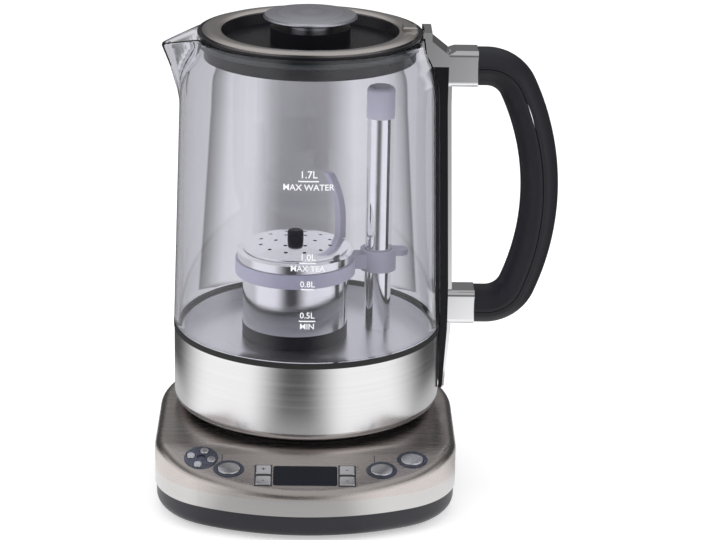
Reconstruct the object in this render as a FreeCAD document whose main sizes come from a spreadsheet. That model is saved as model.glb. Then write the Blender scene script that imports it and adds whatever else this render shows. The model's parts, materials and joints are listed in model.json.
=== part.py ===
import FreeCAD, Part
import math
import os
from types import SimpleNamespace

import Sketcher
from FreeCAD import Placement, Rotation, Vector

# Automatic tea maker: a cordless glass jug with a motor-lifted tea basket, on a powered base with keys.
# Frame: millimetres, +Z up, origin on the jug's axis at table level, handle towards +X, controls towards -Y.

SIZES = {
    # General clearances
    "running_gap": 0.3,
    "fixed_gap": 0.1,
    # Base: plan outline
    "half_width": 83.0,
    "corner_radius": 45.0,
    "front_bow": 9.0,
    "front_reach": 111.0,
    # Base: tray, feet and trim
    "foot_height": 1.5,
    "foot_radius": 8.0,
    "foot_side": 50.0,
    "foot_setback": 31.0,
    "foot_back_side": 30.0,
    "foot_back": 57.0,
    "tray_top": 15.0,
    "tray_inset": 0.8,
    "tray_wall": 2.4,
    "tray_floor": 3.0,
    "tray_round": 7.0,
    "trim_height": 9.0,
    "trim_wall": 2.0,
    # Base: deck
    "deck_height": 16.0,
    "deck_skin": 2.0,
    "deck_wall": 3.0,
    "deck_round": 5.0,
    "deck_slope": 17.6,
    "slope_run": 36.0,
    "crease_round": 40.0,
    "seat_opening": 66.0,
    # Base: seat plate and its bosses
    "seat_drop": 0.6,
    "seat_thickness": 3.4,
    "seat_flange": 4.0,
    "boss_circle": 55.0,
    "boss_radius": 4.0,
    "boss_bore_height": 14.0,
    # Base: screws
    "screw_radius": 1.5,
    "screw_head": 3.0,
    "screw_head_height": 1.3,
    "base_screw_length": 11.0,
    # Base: round connector
    "hub_radius": 24.0,
    "hub_flange": 6.0,
    "hub_flange_height": 2.5,
    "hub_rise": 12.0,
    "hub_bore": 3.2,
    "hub_bore_depth": 12.0,
    "contact_first": 8.0,
    "contact_pitch": 5.0,
    "contact_groove": 2.0,
    "contact_depth": 5.0,
    "shutter_width": 2.4,
    "shutter_height": 7.7,
    # Base: cord gland
    "gland_height": 9.0,
    "gland_radius": 4.4,
    "gland_bore": 3.3,
    "gland_lip": 1.1,
    "gland_lip_height": 1.2,
    "gland_depth": 8.0,
    # Base: boards
    "board_thickness": 1.6,
    "board_depth": 9.4,
    "board_margin": 4.7,
    "board_edge": 0.6,
    "board_shoulder": 4.0,
    "board_ear": 2.2,
    "board_rear": 4.0,
    "power_board_half": 33.0,
    "power_board_near": 14.0,
    "power_board_far": 47.0,
    "power_board_rise": 4.5,
    "relay_length": 24.0,
    "relay_width": 16.0,
    "relay_height": 14.0,
    "coil_radius": 8.0,
    "coil_height": 17.0,
    # Controls: panel
    "window_half_width": 17.2,
    "window_half_height": 8.0,
    "panel_forward": 23.0,
    "window_thickness": 2.0,
    "module_margin": 1.5,
    "panel_key_gap": 1.2,
    "panel_key_split": 1.6,
    "panel_key_width": 8.4,
    "panel_key_height": 7.2,
    "panel_line_gap": 1.4,
    "panel_line_width": 0.7,
    "panel_line_depth": 0.5,
    # Controls: ovals and pad
    "oval_gap": 4.8,
    "oval_near_forward": 17.8,
    "oval_step_across": 16.7,
    "oval_step_back": 9.0,
    "surround_half_width": 8.3,
    "surround_half_height": 6.9,
    "surround_rim": 1.9,
    "surround_depth": 4.2,
    "crease_room": 1.1,
    "surround_proud": 0.3,
    "surround_flange": 1.1,
    "pad_step_across": 15.3,
    "pad_step_back": 9.0,
    "pad_radius": 9.2,
    "pad_key_circle": 5.8,
    "pad_key_radius": 2.4,
    "pad_turn": -16.0,
    "pad_dimple": 2.4,
    "key_gap": 0.25,
    "key_proud": 0.8,
    "key_flange": 0.8,
    "key_flange_height": 1.0,
    "key_stem": 1.5,
    "key_travel": 0.7,
    "switch_side": 5.0,
    "switch_height": 2.6,
    # Jug: steel band and gasket
    "jug_radius": 75.0,
    "shadow_gap": 3.0,
    "band_height": 43.0,
    "band_wall": 1.2,
    "band_round": 5.0,
    "gasket_height": 3.0,
    "gasket_skirt": 1.4,
    "gasket_skirt_depth": 6.0,
    # Jug: glass
    "glass_flare": 0.2,
    "glass_wall": 2.5,
    "shoulder_radius": 71.5,
    "shoulder_height": 220.0,
    "neck_radius": 64.3,
    "neck_height": 245.0,
    "rim_radius": 63.0,
    "rim_height": 254.0,
    # Jug: spout
    "spout_low_drop": 38.0,
    "spout_mid_drop": 18.0,
    "spout_overrun": 3.0,
    "spout_low_reach": 71.0,
    "spout_mid_reach": 76.8,
    "spout_top_reach": 85.2,
    "spout_tip_half": 3.0,
    "spout_tip_radius": 4.2,
    "spout_low_half": 8.0,
    "spout_mid_half": 16.0,
    "spout_top_half": 25.0,
    "spout_low_root": 65.0,
    "spout_mid_root": 62.5,
    "spout_top_root": 54.0,
    "spout_slope_start": 60.0,
    "spout_slope": 17.0,
    # Jug: floor and heater
    "floor_height": 80.0,
    "floor_thickness": 1.5,
    "floor_rim_height": 7.0,
    "plate_radius": 62.0,
    "plate_thickness": 2.5,
    "element_circle": 50.0,
    "element_tube": 3.4,
    "element_sweep": 285.0,
    # Jug: underside and connector
    "foot_ring_radius": 64.0,
    "foot_ring_width": 4.0,
    "underside_thickness": 2.4,
    "cup_wall": 3.8,
    "cup_gap": 3.2,
    "cup_height": 17.0,
    "cup_roof": 3.0,
    "cup_flange": 6.0,
    "cup_flange_thickness": 2.0,
    "pin_radius": 2.6,
    "pin_length": 11.0,
    "underside_screw_reach": 3.2,
    "underside_screw_length": 9.0,
    # Jug: lift post, motor and screw
    "post_across": 40.0,
    "post_back": 12.0,
    "post_radius": 7.5,
    "post_wall": 1.1,
    "post_height": 124.0,
    "post_tail": 6.0,
    "post_flange": 2.6,
    "post_flange_height": 4.3,
    "cap_height": 18.0,
    "cap_radius": 8.0,
    "cap_round": 3.0,
    "cap_plug": 6.0,
    "motor_radius": 10.0,
    "motor_length": 18.0,
    "motor_neck": 4.0,
    "motor_neck_height": 4.0,
    "lead_radius": 3.0,
    "lead_shaft": 2.1,
    "lead_shaft_length": 12.0,
    # Tea basket and carriage
    "basket_across": -7.0,
    "basket_radius": 29.5,
    "basket_wall": 0.8,
    "basket_base_height": 7.6,
    "basket_height": 51.0,
    "basket_flange": 3.1,
    "basket_flange_below": 5.6,
    "basket_base_width": 3.5,
    "basket_base_proud": 0.2,
    "carriage_ring_width": 3.8,
    "carriage_ring_height": 8.0,
    "collar_width": 2.4,
    "collar_height": 12.0,
    "collar_drop": 2.0,
    "arm_before": 8.0,
    "arm_behind": 2.0,
    "tab_thickness": 3.0,
    "tab_half_width": 5.0,
    "tab_reach": 7.0,
    "basket_lid_plug": 2.0,
    "basket_lid_edge": 1.0,
    "basket_lid_dome": 3.0,
    "basket_hole_radius": 1.1,
    "basket_hole_inner": 11.0,
    "basket_hole_outer": 20.0,
    "basket_knob_radius": 4.5,
    "basket_knob_height": 6.0,
    "lever_angle": 37.0,
    "lever_circle": 31.7,
    "lever_width": 5.0,
    "lever_depth": 4.0,
    "lever_upright": 11.0,
    "lever_rise": 35.5,
    "lever_lean": 11.5,
    "lever_curve": 31.0,
    # Lid
    "lid_flange_radius": 61.8,
    "lid_flange_height": 1.1,
    "lid_skirt_radius": 58.0,
    "lid_skirt_wall": 2.5,
    "lid_skirt_depth": 12.8,
    "lid_floor_depth": 5.3,
    "lid_floor_thickness": 4.0,
    "lid_ring_outer": 59.2,
    "lid_ring_inner": 48.8,
    "lid_ring_edge": 0.7,
    "lid_ring_crown": 12.0,
    "pedestal_radius": 22.0,
    "pedestal_height": 2.6,
    "knob_radius": 25.7,
    "knob_stem_radius": 12.0,
    "knob_stem_height": 4.5,
    "knob_edge": 2.3,
    "knob_chamfer": 0.8,
    "knob_dome": 1.7,
    "seal_drop": 1.9,
    "seal_height": 4.5,
    "seal_width": 2.1,
    "tab_inner": 50.4,
    "tab_outer": 58.4,
    "lid_tab_half_width": 5.0,
    "lid_tab_height": 3.6,
    # Handle: spine, strip, brackets and rim clip
    "spine_gap": 0.4,
    "spine_half_width": 9.0,
    "spine_foot": 51.0,
    "spine_foot_reach": 77.0,
    "spine_low_reach": 79.0,
    "spine_high_reach": 75.9,
    "spine_low_bend": 86.0,
    "spine_low_end": 112.0,
    "spine_high_start": 216.0,
    "spine_top": 238.6,
    "strip_thickness": 2.2,
    "strip_half_width": 6.5,
    "strip_foot_thickness": 1.2,
    "bracket_half_width": 10.0,
    "upper_bracket_low": 227.0,
    "upper_bracket_high": 247.0,
    "upper_bracket_end": 92.0,
    "lower_bracket_low": 89.5,
    "lower_bracket_high": 108.8,
    "lower_bracket_end": 94.0,
    "bracket_round": 3.0,
    "clip_half_width": 11.0,
    "clip_shoulder": 245.2,
    "clip_neck_reach": 66.4,
    "clip_neck": 252.8,
    "clip_top": 257.6,
    # Handle: grip
    "grip_high": 237.0,
    "grip_low": 99.3,
    "grip_reach": 128.7,
    "grip_middle": 165.0,
    "grip_curve": 140.0,
    "grip_bend_high": 97.0,
    "grip_bend_low": 100.0,
    "grip_outer_depth": 9.0,
    "grip_inner_depth": 12.0,
    "grip_half_width": 14.0,
    "grip_side": 2.0,
    "grip_seam": 0.4,
    "handle_screw_bite": 6.0,
}


class Size:
    """A number together with the sheet expression that gives it."""

    def __init__(self, value, text):
        self.value = value
        self.text = text

    def __add__(self, other):
        return combine(self, "+", other, lambda a, b: a + b)

    def __radd__(self, other):
        return combine(other, "+", self, lambda a, b: a + b)

    def __sub__(self, other):
        return combine(self, "-", other, lambda a, b: a - b)

    def __rsub__(self, other):
        return combine(other, "-", self, lambda a, b: a - b)

    def __mul__(self, other):
        return combine(self, "*", other, lambda a, b: a * b)

    def __rmul__(self, other):
        return combine(other, "*", self, lambda a, b: a * b)

    def __truediv__(self, other):
        return combine(self, "/", other, lambda a, b: a / b)

    def __neg__(self):
        return 0.0 - self


def as_size(thing):
    """A Size for a Size or a plain number."""
    if isinstance(thing, Size):
        return thing
    return Size(float(thing), "(%r)" % float(thing))


def combine(left, sign, right, action):
    """The Size of two sizes joined by a sign."""
    left = as_size(left)
    right = as_size(right)
    return Size(action(left.value, right.value), "(%s %s %s)" % (left.text, sign, right.text))


def sine(angle):
    """The sine of an angle in degrees."""
    angle = as_size(angle)
    return Size(math.sin(math.radians(angle.value)), "sin(%s * 1 deg)" % angle.text)


def cosine(angle):
    """The cosine of an angle in degrees."""
    angle = as_size(angle)
    return Size(math.cos(math.radians(angle.value)), "cos(%s * 1 deg)" % angle.text)


def tangent(angle):
    """The tangent of an angle in degrees."""
    angle = as_size(angle)
    return Size(math.tan(math.radians(angle.value)), "tan(%s * 1 deg)" % angle.text)


doc = FreeCAD.newDocument("TeaMaker")
sheet = doc.addObject("Spreadsheet::Sheet", "Sizes")
for row, (alias, number) in enumerate(SIZES.items(), start=1):
    sheet.set("A%d" % row, alias.replace("_", " "))
    sheet.set("B%d" % row, str(number))
    sheet.setAlias("B%d" % row, alias)
doc.recompute()
S = SimpleNamespace(**{alias: Size(number, "Sizes.%s" % alias) for alias, number in SIZES.items()})

pieces = {}


# Heights and radii worked out from the driving sizes

tray_floor_top = S.foot_height + S.tray_floor
trim_top = S.tray_top + S.trim_height
deck_top = trim_top + S.deck_height
deck_under = deck_top - S.deck_skin
seat_top = deck_top - S.seat_drop
seat_under = seat_top - S.seat_thickness
hub_top = seat_top + S.hub_rise + S.seat_drop
band_bottom = deck_top + S.shadow_gap
band_top = band_bottom + S.band_height
glass_bottom = band_top + S.gasket_height
glass_foot_radius = S.jug_radius + S.glass_flare
floor_under = S.floor_height - S.floor_thickness
plate_top = floor_under - S.fixed_gap
plate_under = plate_top - S.plate_thickness
underside_low = band_bottom + S.band_wall + S.running_gap + S.fixed_gap
underside_top = underside_low + S.underside_thickness
cup_inner = S.hub_radius + S.cup_gap
cup_outer = cup_inner + S.cup_wall
cup_low = seat_top + S.running_gap + 1.3
cup_top = cup_low + S.cup_height
post_bottom = S.floor_height - S.post_tail
post_top = S.floor_height + S.post_height
cap_top = post_top + S.cap_height
basket_low = S.floor_height + S.running_gap
basket_bottom = basket_low + S.basket_base_height + S.fixed_gap
basket_rim = basket_low + S.basket_height
flange_low = basket_rim - S.basket_flange_below
ring_top = flange_low - S.running_gap
ring_low = ring_top - S.carriage_ring_height
collar_low = ring_low - S.collar_drop
collar_top = collar_low + S.collar_height
lid_flange_low = S.rim_height + S.running_gap
lid_flange_top = lid_flange_low + S.lid_flange_height
pedestal_top = lid_flange_top + S.pedestal_height
knob_low = pedestal_top + S.knob_stem_height
spout_low_height = S.rim_height - S.spout_low_drop
spout_mid_height = S.rim_height - S.spout_mid_drop
spout_top_height = S.rim_height + S.spout_overrun


# Places on the base worked out from the driving sizes

crease_reach = S.front_reach - S.slope_run
corner_forward = S.front_reach - S.front_bow - S.corner_radius
foot_forward = S.front_reach - S.foot_setback
panel_key_across = S.window_half_width + S.panel_key_gap + S.panel_key_width / 2.0
panel_key_spread = (S.panel_key_height + S.panel_key_split) / 2.0
panel_line_across = panel_key_across + S.panel_key_width / 2.0 + S.panel_line_gap
oval_near_across = panel_line_across + S.oval_gap + S.surround_half_width
oval_far_across = oval_near_across + S.oval_step_across
oval_far_forward = S.oval_near_forward - S.oval_step_back
pad_across = oval_near_across + S.pad_step_across
pad_forward = S.oval_near_forward - S.pad_step_back
module_half_width = panel_key_across - (S.panel_key_width + S.key_flange) / 2.0 - S.running_gap
module_half_height = S.window_half_height + S.module_margin
flange_thickness = S.surround_depth - S.deck_skin - S.crease_room


# Sketches and features

def plane_of(body, role):
    """One of a body's own origin planes."""
    return next(item for item in body.Origin.OriginFeatures if item.Role == role)


def new_body(label):
    """An empty body that carries a label."""
    body = doc.addObject("PartDesign::Body", label)
    body.Label = label
    return body


def new_sketch(body, role, lift=None):
    """A sketch on a body's origin plane, raised by lift."""
    sketch = body.newObject("Sketcher::SketchObject", body.Name + "_sketch")
    sketch.AttachmentSupport = [(plane_of(body, role), "")]
    sketch.MapMode = "FlatFace"
    if lift is not None:
        sketch.setExpression("AttachmentOffset.Base.z", as_size(lift).text)
    return sketch


def arc_between(start, end, radius):
    """The arc of under half a turn from start to end, and the positions of its two ends on it."""
    chord = end - start
    left = Vector(-chord.y, chord.x, 0).normalize()
    reach = math.sqrt(radius * radius - chord.Length ** 2 / 4.0)
    side = 1.0 if radius > 0 else -1.0
    centre = (start + end) * 0.5 + left * (side * reach)
    first, last = (start, end) if radius > 0 else (end, start)
    angles = [math.atan2(point.y - centre.y, point.x - centre.x) for point in (first, last)]
    circle = Part.Circle(centre, Vector(0, 0, 1), abs(radius))
    positions = (1, 2) if radius > 0 else (2, 1)
    return Part.ArcOfCircle(circle, angles[0], angles[1]), positions


def draw_path(sketch, steps, closed=True):
    """Draws edges through steps of (across, up) or (across, up, radius).

    A radius makes the edge that ends at that step an arc, which turns left where the radius is positive and
    right where it is negative. A closed path ends at its first step.
    """
    spots = [(as_size(step[0]), as_size(step[1])) for step in steps]
    points = [Vector(across.value, up.value, 0) for across, up in spots]
    first = 0 if closed else 1
    edges = {}
    for number in range(first, len(steps)):
        start = points[number - 1]
        end = points[number]
        if len(steps[number]) == 3:
            radius = as_size(steps[number][2])
            curve, positions = arc_between(start, end, radius.value)
            edges[number] = (sketch.addGeometry(curve), positions)
            bound(sketch, Sketcher.Constraint("Radius", edges[number][0], abs(radius.value)),
                  radius if radius.value > 0 else -radius)
        else:
            edges[number] = (sketch.addGeometry(Part.LineSegment(start, end)), (1, 2))
    for number, (edge, positions) in edges.items():
        following = edges.get((number + 1) % len(steps))
        if following is not None:
            sketch.addConstraint(
                Sketcher.Constraint("Coincident", edge, positions[1], following[0], following[1][0])
            )
        place_point(sketch, edge, positions[1], spots[number])
    if not closed:
        place_point(sketch, edges[1][0], edges[1][1][0], spots[0])


def place_point(sketch, edge, position, spot):
    """Ties one end of an edge to its place from the sketch's origin."""
    for kind, axis, size in (("DistanceX", -2, spot[0]), ("DistanceY", -1, spot[1])):
        if size.text == "(0.0)":
            sketch.addConstraint(Sketcher.Constraint("PointOnObject", edge, position, axis))
        else:
            bound(sketch, Sketcher.Constraint(kind, -1, 1, edge, position, size.value), size)


def bound(sketch, constraint, size):
    """Adds a constraint whose number follows a size."""
    number = sketch.addConstraint(constraint)
    sketch.setExpression("Constraints[%d]" % number, size.text)


def draw_circle(sketch, across, up, radius):
    """Draws a circle."""
    across = as_size(across)
    up = as_size(up)
    radius = as_size(radius)
    circle = Part.Circle(Vector(across.value, up.value, 0), Vector(0, 0, 1), radius.value)
    edge = sketch.addGeometry(circle)
    bound(sketch, Sketcher.Constraint("Radius", edge, radius.value), radius)
    place_point(sketch, edge, 3, (across, up))


def draw_box(sketch, left, low, right, high):
    """Draws a rectangle by its sides."""
    draw_path(sketch, [(left, low), (right, low), (right, high), (left, high)])


def draw_rounded(sketch, across, up, width, height, radius):
    """Draws a rectangle with round corners about its centre."""
    left = across - width / 2.0
    right = across + width / 2.0
    low = up - height / 2.0
    high = up + height / 2.0
    draw_path(sketch, [
        (left + radius, low, radius),
        (right - radius, low),
        (right, low + radius, radius),
        (right, high - radius),
        (right - radius, high, radius),
        (left + radius, high),
        (left, high - radius, radius),
        (left, low + radius),
    ])


def draw_oval(sketch, across, up, half_width, half_height):
    """Draws an oval of four tangent arcs about its centre."""
    end = half_height * 0.75
    reach = half_width - end
    side = (reach * reach + half_height * half_height - end * end) / (2.0 * (half_height - end))
    join_across = reach + end * reach / (side - end)
    join_up = end * (side - half_height) / (side - end)
    draw_path(sketch, [
        (across + join_across, up + join_up, end),
        (across - join_across, up + join_up, side),
        (across - join_across, up - join_up, end),
        (across + join_across, up - join_up, side),
    ])


def draw_footprint(sketch, inset):
    """Draws the base's plan outline, taken in by inset: a round back, straight sides and a bowed front."""
    side = S.half_width - inset
    corner_across = S.half_width - S.corner_radius
    nose = S.front_reach - S.corner_radius
    front_centre = (
        (corner_across * corner_across + corner_forward * corner_forward - nose * nose)
        / (2.0 * (nose - corner_forward))
    )
    front_radius = front_centre + S.front_reach
    share = (S.corner_radius - inset) / (front_radius - S.corner_radius)
    join_across = corner_across + share * corner_across
    join_up = -corner_forward - share * (corner_forward + front_centre)
    draw_path(sketch, [
        (side, 0),
        (0, side, side),
        (-side, 0, side),
        (-side, -corner_forward),
        (-join_across, join_up, S.corner_radius - inset),
        (join_across, join_up, front_radius - inset),
        (side, -corner_forward, S.corner_radius - inset),
    ])


def finish_feature(body, feature, label):
    """Names a body's newest feature and makes it the tip."""
    feature.Label = body.Label + " " + label
    body.Tip = feature
    doc.recompute()
    if "Invalid" in feature.State or "Error" in feature.State or feature.Shape.isNull():
        raise ValueError("%s does not build: %s" % (feature.Label, feature.getStatusString()))
    return feature


def pad(body, sketch, length, middle=False):
    """Raises a sketch."""
    feature = body.newObject("PartDesign::Pad", body.Name + "_pad")
    feature.Profile = sketch
    feature.setExpression("Length", as_size(length).text)
    feature.Midplane = middle
    return finish_feature(body, feature, "pad")


def pocket(body, sketch, depth, middle=False, reverse=False):
    """Cuts a sketch out of a body, and checks that it took something away."""
    before = body.Shape.Volume
    feature = body.newObject("PartDesign::Pocket", body.Name + "_pocket")
    feature.Profile = sketch
    feature.setExpression("Length", as_size(depth).text)
    feature.Midplane = middle
    feature.Reversed = reverse
    finish_feature(body, feature, "pocket")
    if body.Shape.Volume >= before:
        raise ValueError("a pocket in %s cuts nothing" % body.Label)
    return feature


def spin(body, sketch):
    """Turns a sketch about its upright axis."""
    feature = body.newObject("PartDesign::Revolution", body.Name + "_spin")
    feature.Profile = sketch
    feature.ReferenceAxis = (sketch, ["V_Axis"])
    feature.Angle = 360.0
    return finish_feature(body, feature, "spin")


def round_edges(body, radius, wanted):
    """Fillets the edges of a body that wanted picks."""
    names = ["Edge%d" % (number + 1) for number, edge in enumerate(body.Shape.Edges) if wanted(edge)]
    base = body.Tip
    feature = body.newObject("PartDesign::Fillet", body.Name + "_round")
    feature.Base = (base, names)
    feature.setExpression("Radius", as_size(radius).text)
    return finish_feature(body, feature, "round")


def put(item, across=0.0, back=0.0, up=0.0):
    """Places an object by sizes along X, Y and Z."""
    for name, size in (("x", across), ("y", back), ("z", up)):
        size = as_size(size)
        if size.text != "(0.0)":
            item.setExpression("Placement.Base.%s" % name, size.text)
    return item


def put_on_slope(item, across, forward):
    """Places an object on the deck's sloping face, forward of the crease, with its own Z along the normal."""
    item.Placement = Placement(Vector(0, 0, 0), Rotation(Vector(1, 0, 0), S.deck_slope.value))
    item.setExpression("Placement.Rotation.Angle", S.deck_slope.text)
    back = -crease_reach - forward * cosine(S.deck_slope)
    up = deck_top - forward * sine(S.deck_slope)
    return put(item, across, back, up)


def spun(label, steps):
    """A body turned from a profile of (radius, height) steps."""
    body = new_body(label)
    sketch = new_sketch(body, "XZ_Plane")
    draw_path(sketch, steps)
    spin(body, sketch)
    return body


def prism(label, draw, low, high):
    """A body raised between two heights from what draw puts in its sketch."""
    body = new_body(label)
    sketch = new_sketch(body, "XY_Plane", lift=low)
    draw(sketch)
    pad(body, sketch, as_size(high) - low)
    return body


def plate(label, steps, half_width):
    """A body with an outline in the XZ plane, as thick each way from it as half_width."""
    body = new_body(label)
    sketch = new_sketch(body, "XZ_Plane")
    draw_path(sketch, steps)
    pad(body, sketch, half_width * 2.0, middle=True)
    return body


def cut_down(body, draw, top, depth):
    """Pockets what draw puts in a level sketch, from top downwards."""
    sketch = new_sketch(body, "XY_Plane", lift=top)
    draw(sketch)
    return pocket(body, sketch, depth)


def grow_up(body, draw, low, high):
    """Pads what draw puts in a level sketch."""
    sketch = new_sketch(body, "XY_Plane", lift=low)
    draw(sketch)
    return pad(body, sketch, as_size(high) - low)


def group(label, members):
    """Several separate solids that share one label."""
    compound = doc.addObject("Part::Compound", label)
    compound.Label = label
    compound.Links = members
    doc.recompute()
    return compound


def difference(label, base, tool):
    """One object cut from another."""
    cut = doc.addObject("Part::Cut", label)
    cut.Label = label
    cut.Base = base
    cut.Tool = tool
    cut.Refine = True
    doc.recompute()
    return cut


def joined(label, base, tool):
    """Two overlapping objects made into one solid."""
    fuse = doc.addObject("Part::Fuse", label)
    fuse.Label = label
    fuse.Base = base
    fuse.Tool = tool
    fuse.Refine = True
    doc.recompute()
    return fuse


def keep(item):
    """Lists an object as a finished piece under its label."""
    pieces[item.Label] = item
    return item


def round_places(count, radius, start=0.0):
    """Places spaced evenly round a circle, as sizes."""
    return [
        (radius * cosine(start + 360.0 * number / count), radius * sine(start + 360.0 * number / count))
        for number in range(count)
    ]


def screw(label, length):
    """A pan-head screw that points up from its head at height zero."""
    return spun(label, [
        (0, 0),
        (S.screw_head, 0),
        (S.screw_head, S.screw_head_height),
        (S.screw_radius, S.screw_head_height),
        (S.screw_radius, S.screw_head_height + length),
        (0, S.screw_head_height + length),
    ])


# Base: feet, tray, trim and deck

corner_feet = [
    (S.foot_side, -foot_forward),
    (-S.foot_side, -foot_forward),
    (S.foot_back_side, S.foot_back),
    (-S.foot_back_side, S.foot_back),
    (as_size(0), as_size(0)),
]
feet = []
for number, (across, back) in enumerate(corner_feet):
    foot = doc.addObject("Part::Cylinder", "foot_%d" % (number + 1))
    foot.setExpression("Radius", S.foot_radius.text)
    foot.setExpression("Height", S.foot_height.text)
    feet.append(put(foot, across, back))
keep(group("base_feet", feet))

boss_places = round_places(4, S.boss_circle, 45.0)


def at_places(places, radius):
    """A function that draws equal circles at several places."""
    def draw(sketch):
        for across, back in places:
            draw_circle(sketch, across, back, radius)
    return draw


def ring_of(outer, inner):
    """A function that draws a ring about the sketch's origin."""
    def draw(sketch):
        draw_circle(sketch, 0, 0, outer)
        draw_circle(sketch, 0, 0, inner)
    return draw


def disc_of(radius):
    """A function that draws a circle about the sketch's origin."""
    def draw(sketch):
        draw_circle(sketch, 0, 0, radius)
    return draw


tray_inner = S.tray_inset + S.tray_wall
tray = prism("base_tray", lambda sketch: draw_footprint(sketch, S.tray_inset), S.foot_height, S.tray_top)
round_edges(tray, S.tray_round, lambda edge: edge.BoundBox.ZMax < SIZES["foot_height"] + 0.01)
cut_down(tray, lambda sketch: draw_footprint(sketch, tray_inner), S.tray_top, S.tray_top - tray_floor_top)
tray_floor_height = SIZES["foot_height"] + SIZES["tray_floor"]
round_edges(
    tray,
    S.tray_round - S.tray_wall,
    lambda edge: abs(edge.BoundBox.ZMax - tray_floor_height) + abs(edge.BoundBox.ZMin - tray_floor_height) < 0.01,
)
cut_down(tray, at_places(boss_places, S.screw_radius + S.fixed_gap), tray_floor_top, S.tray_floor)
head_room = S.screw_head_height + S.fixed_gap
cut_down(tray, at_places(boss_places, S.screw_head + S.fixed_gap), S.foot_height + head_room, head_room)
gland_hole = new_sketch(tray, "XZ_Plane", lift=-(S.half_width - S.tray_round - S.tray_wall))
draw_circle(gland_hole, 0, S.gland_height, S.gland_radius + S.fixed_gap)
pocket(tray, gland_hole, S.tray_round * 2.0 + S.tray_wall, reverse=False)
keep(tray)

screws = []
for number, (across, back) in enumerate(boss_places):
    item = screw("base_screw_%d" % (number + 1), S.base_screw_length)
    screws.append(put(item, across, back, S.foot_height + S.fixed_gap))
keep(group("base_screws", screws))

gland = new_body("cord_gland")
gland_sketch = new_sketch(gland, "XY_Plane")
draw_path(gland_sketch, [
    (S.gland_bore, -S.gland_depth),
    (S.gland_radius, -S.gland_depth),
    (S.gland_radius, 0),
    (S.gland_radius + S.gland_lip, 0),
    (S.gland_radius + S.gland_lip, S.gland_lip_height),
    (S.gland_bore, S.gland_lip_height),
])
spin(gland, gland_sketch)
put(gland, 0, S.half_width - S.tray_inset + S.fixed_gap, S.gland_height)
keep(gland)

trim = prism("trim_band", lambda sketch: draw_footprint(sketch, as_size(0)), S.tray_top, trim_top)
cut_down(trim, lambda sketch: draw_footprint(sketch, S.trim_wall), trim_top, S.trim_height)
keep(trim)


def wedge(label, inset, drop, low):
    """A solid block with the deck's outline and its sloping front, taken in by inset and lowered by drop."""
    body = prism(label, lambda sketch: draw_footprint(sketch, inset), low, deck_top - drop)
    profile = new_sketch(body, "YZ_Plane")
    far = S.front_reach + 10.0
    draw_path(profile, [
        (-crease_reach, deck_top - drop),
        (-crease_reach, deck_top + 10.0),
        (-far, deck_top + 10.0),
        (-far, deck_top - drop - (far - crease_reach) * tangent(S.deck_slope)),
    ])
    pocket(body, profile, S.half_width * 3.0, middle=True)
    height = deck_top.value - as_size(drop).value

    def on_crease(edge):
        box = edge.BoundBox
        return box.YLength < 0.01 and box.ZLength < 0.01 and abs(box.ZMax - height) < 0.01 and box.XLength > 20

    round_edges(body, S.crease_round, on_crease)
    return body


deck_solid = wedge("deck_solid", as_size(0), as_size(0), trim_top)


def on_deck_rim(edge):
    """Whether an edge runs round the top of the deck."""
    box = edge.BoundBox
    if box.ZMax < trim_top.value + 0.5:
        return False
    middle = edge.valueAt((edge.FirstParameter + edge.LastParameter) / 2.0)
    upright = box.XLength < 0.01 and box.YLength < 0.01
    inner = abs(middle.x) < 5.0 and abs(middle.y) < SIZES["front_reach"] - 5.0 and middle.y < 0
    straight_across = box.YLength < 0.01 and box.ZLength < 0.01
    return not upright and not inner and not straight_across


round_edges(deck_solid, S.deck_round, on_deck_rim)


def slope_sketch(body, lift=0.0):
    """A sketch on the deck's sloping face, with its origin on the crease and its up axis up the slope."""
    sketch = body.newObject("Sketcher::SketchObject", body.Name + "_slope")
    sketch.AttachmentSupport = [(plane_of(body, "XY_Plane"), "")]
    sketch.MapMode = "FlatFace"
    sketch.AttachmentOffset = Placement(Vector(0, 0, 0), Rotation(Vector(1, 0, 0), S.deck_slope.value))
    sketch.setExpression("AttachmentOffset.Rotation.Angle", S.deck_slope.text)
    sketch.setExpression("AttachmentOffset.Base.y", (-crease_reach - lift * sine(S.deck_slope)).text)
    sketch.setExpression("AttachmentOffset.Base.z", (deck_top + lift * cosine(S.deck_slope)).text)
    return sketch


# Controls: where the keys are

oval_places = [
    ("menu_button", -oval_near_across, S.oval_near_forward),
    ("start_button", oval_near_across, S.oval_near_forward),
    ("power_button", oval_far_across, oval_far_forward),
]
panel_places = [
    ("left_upper_key", -panel_key_across, S.panel_forward - panel_key_spread),
    ("left_lower_key", -panel_key_across, S.panel_forward + panel_key_spread),
    ("right_upper_key", panel_key_across, S.panel_forward - panel_key_spread),
    ("right_lower_key", panel_key_across, S.panel_forward + panel_key_spread),
]
pad_places = [
    (
        name,
        -pad_across + S.pad_key_circle * cosine(S.pad_turn + turn),
        pad_forward - S.pad_key_circle * sine(S.pad_turn + turn),
    )
    for name, turn in (("pad_right_key", 0.0), ("pad_up_key", 90.0), ("pad_left_key", 180.0), ("pad_down_key", 270.0))
]

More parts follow.
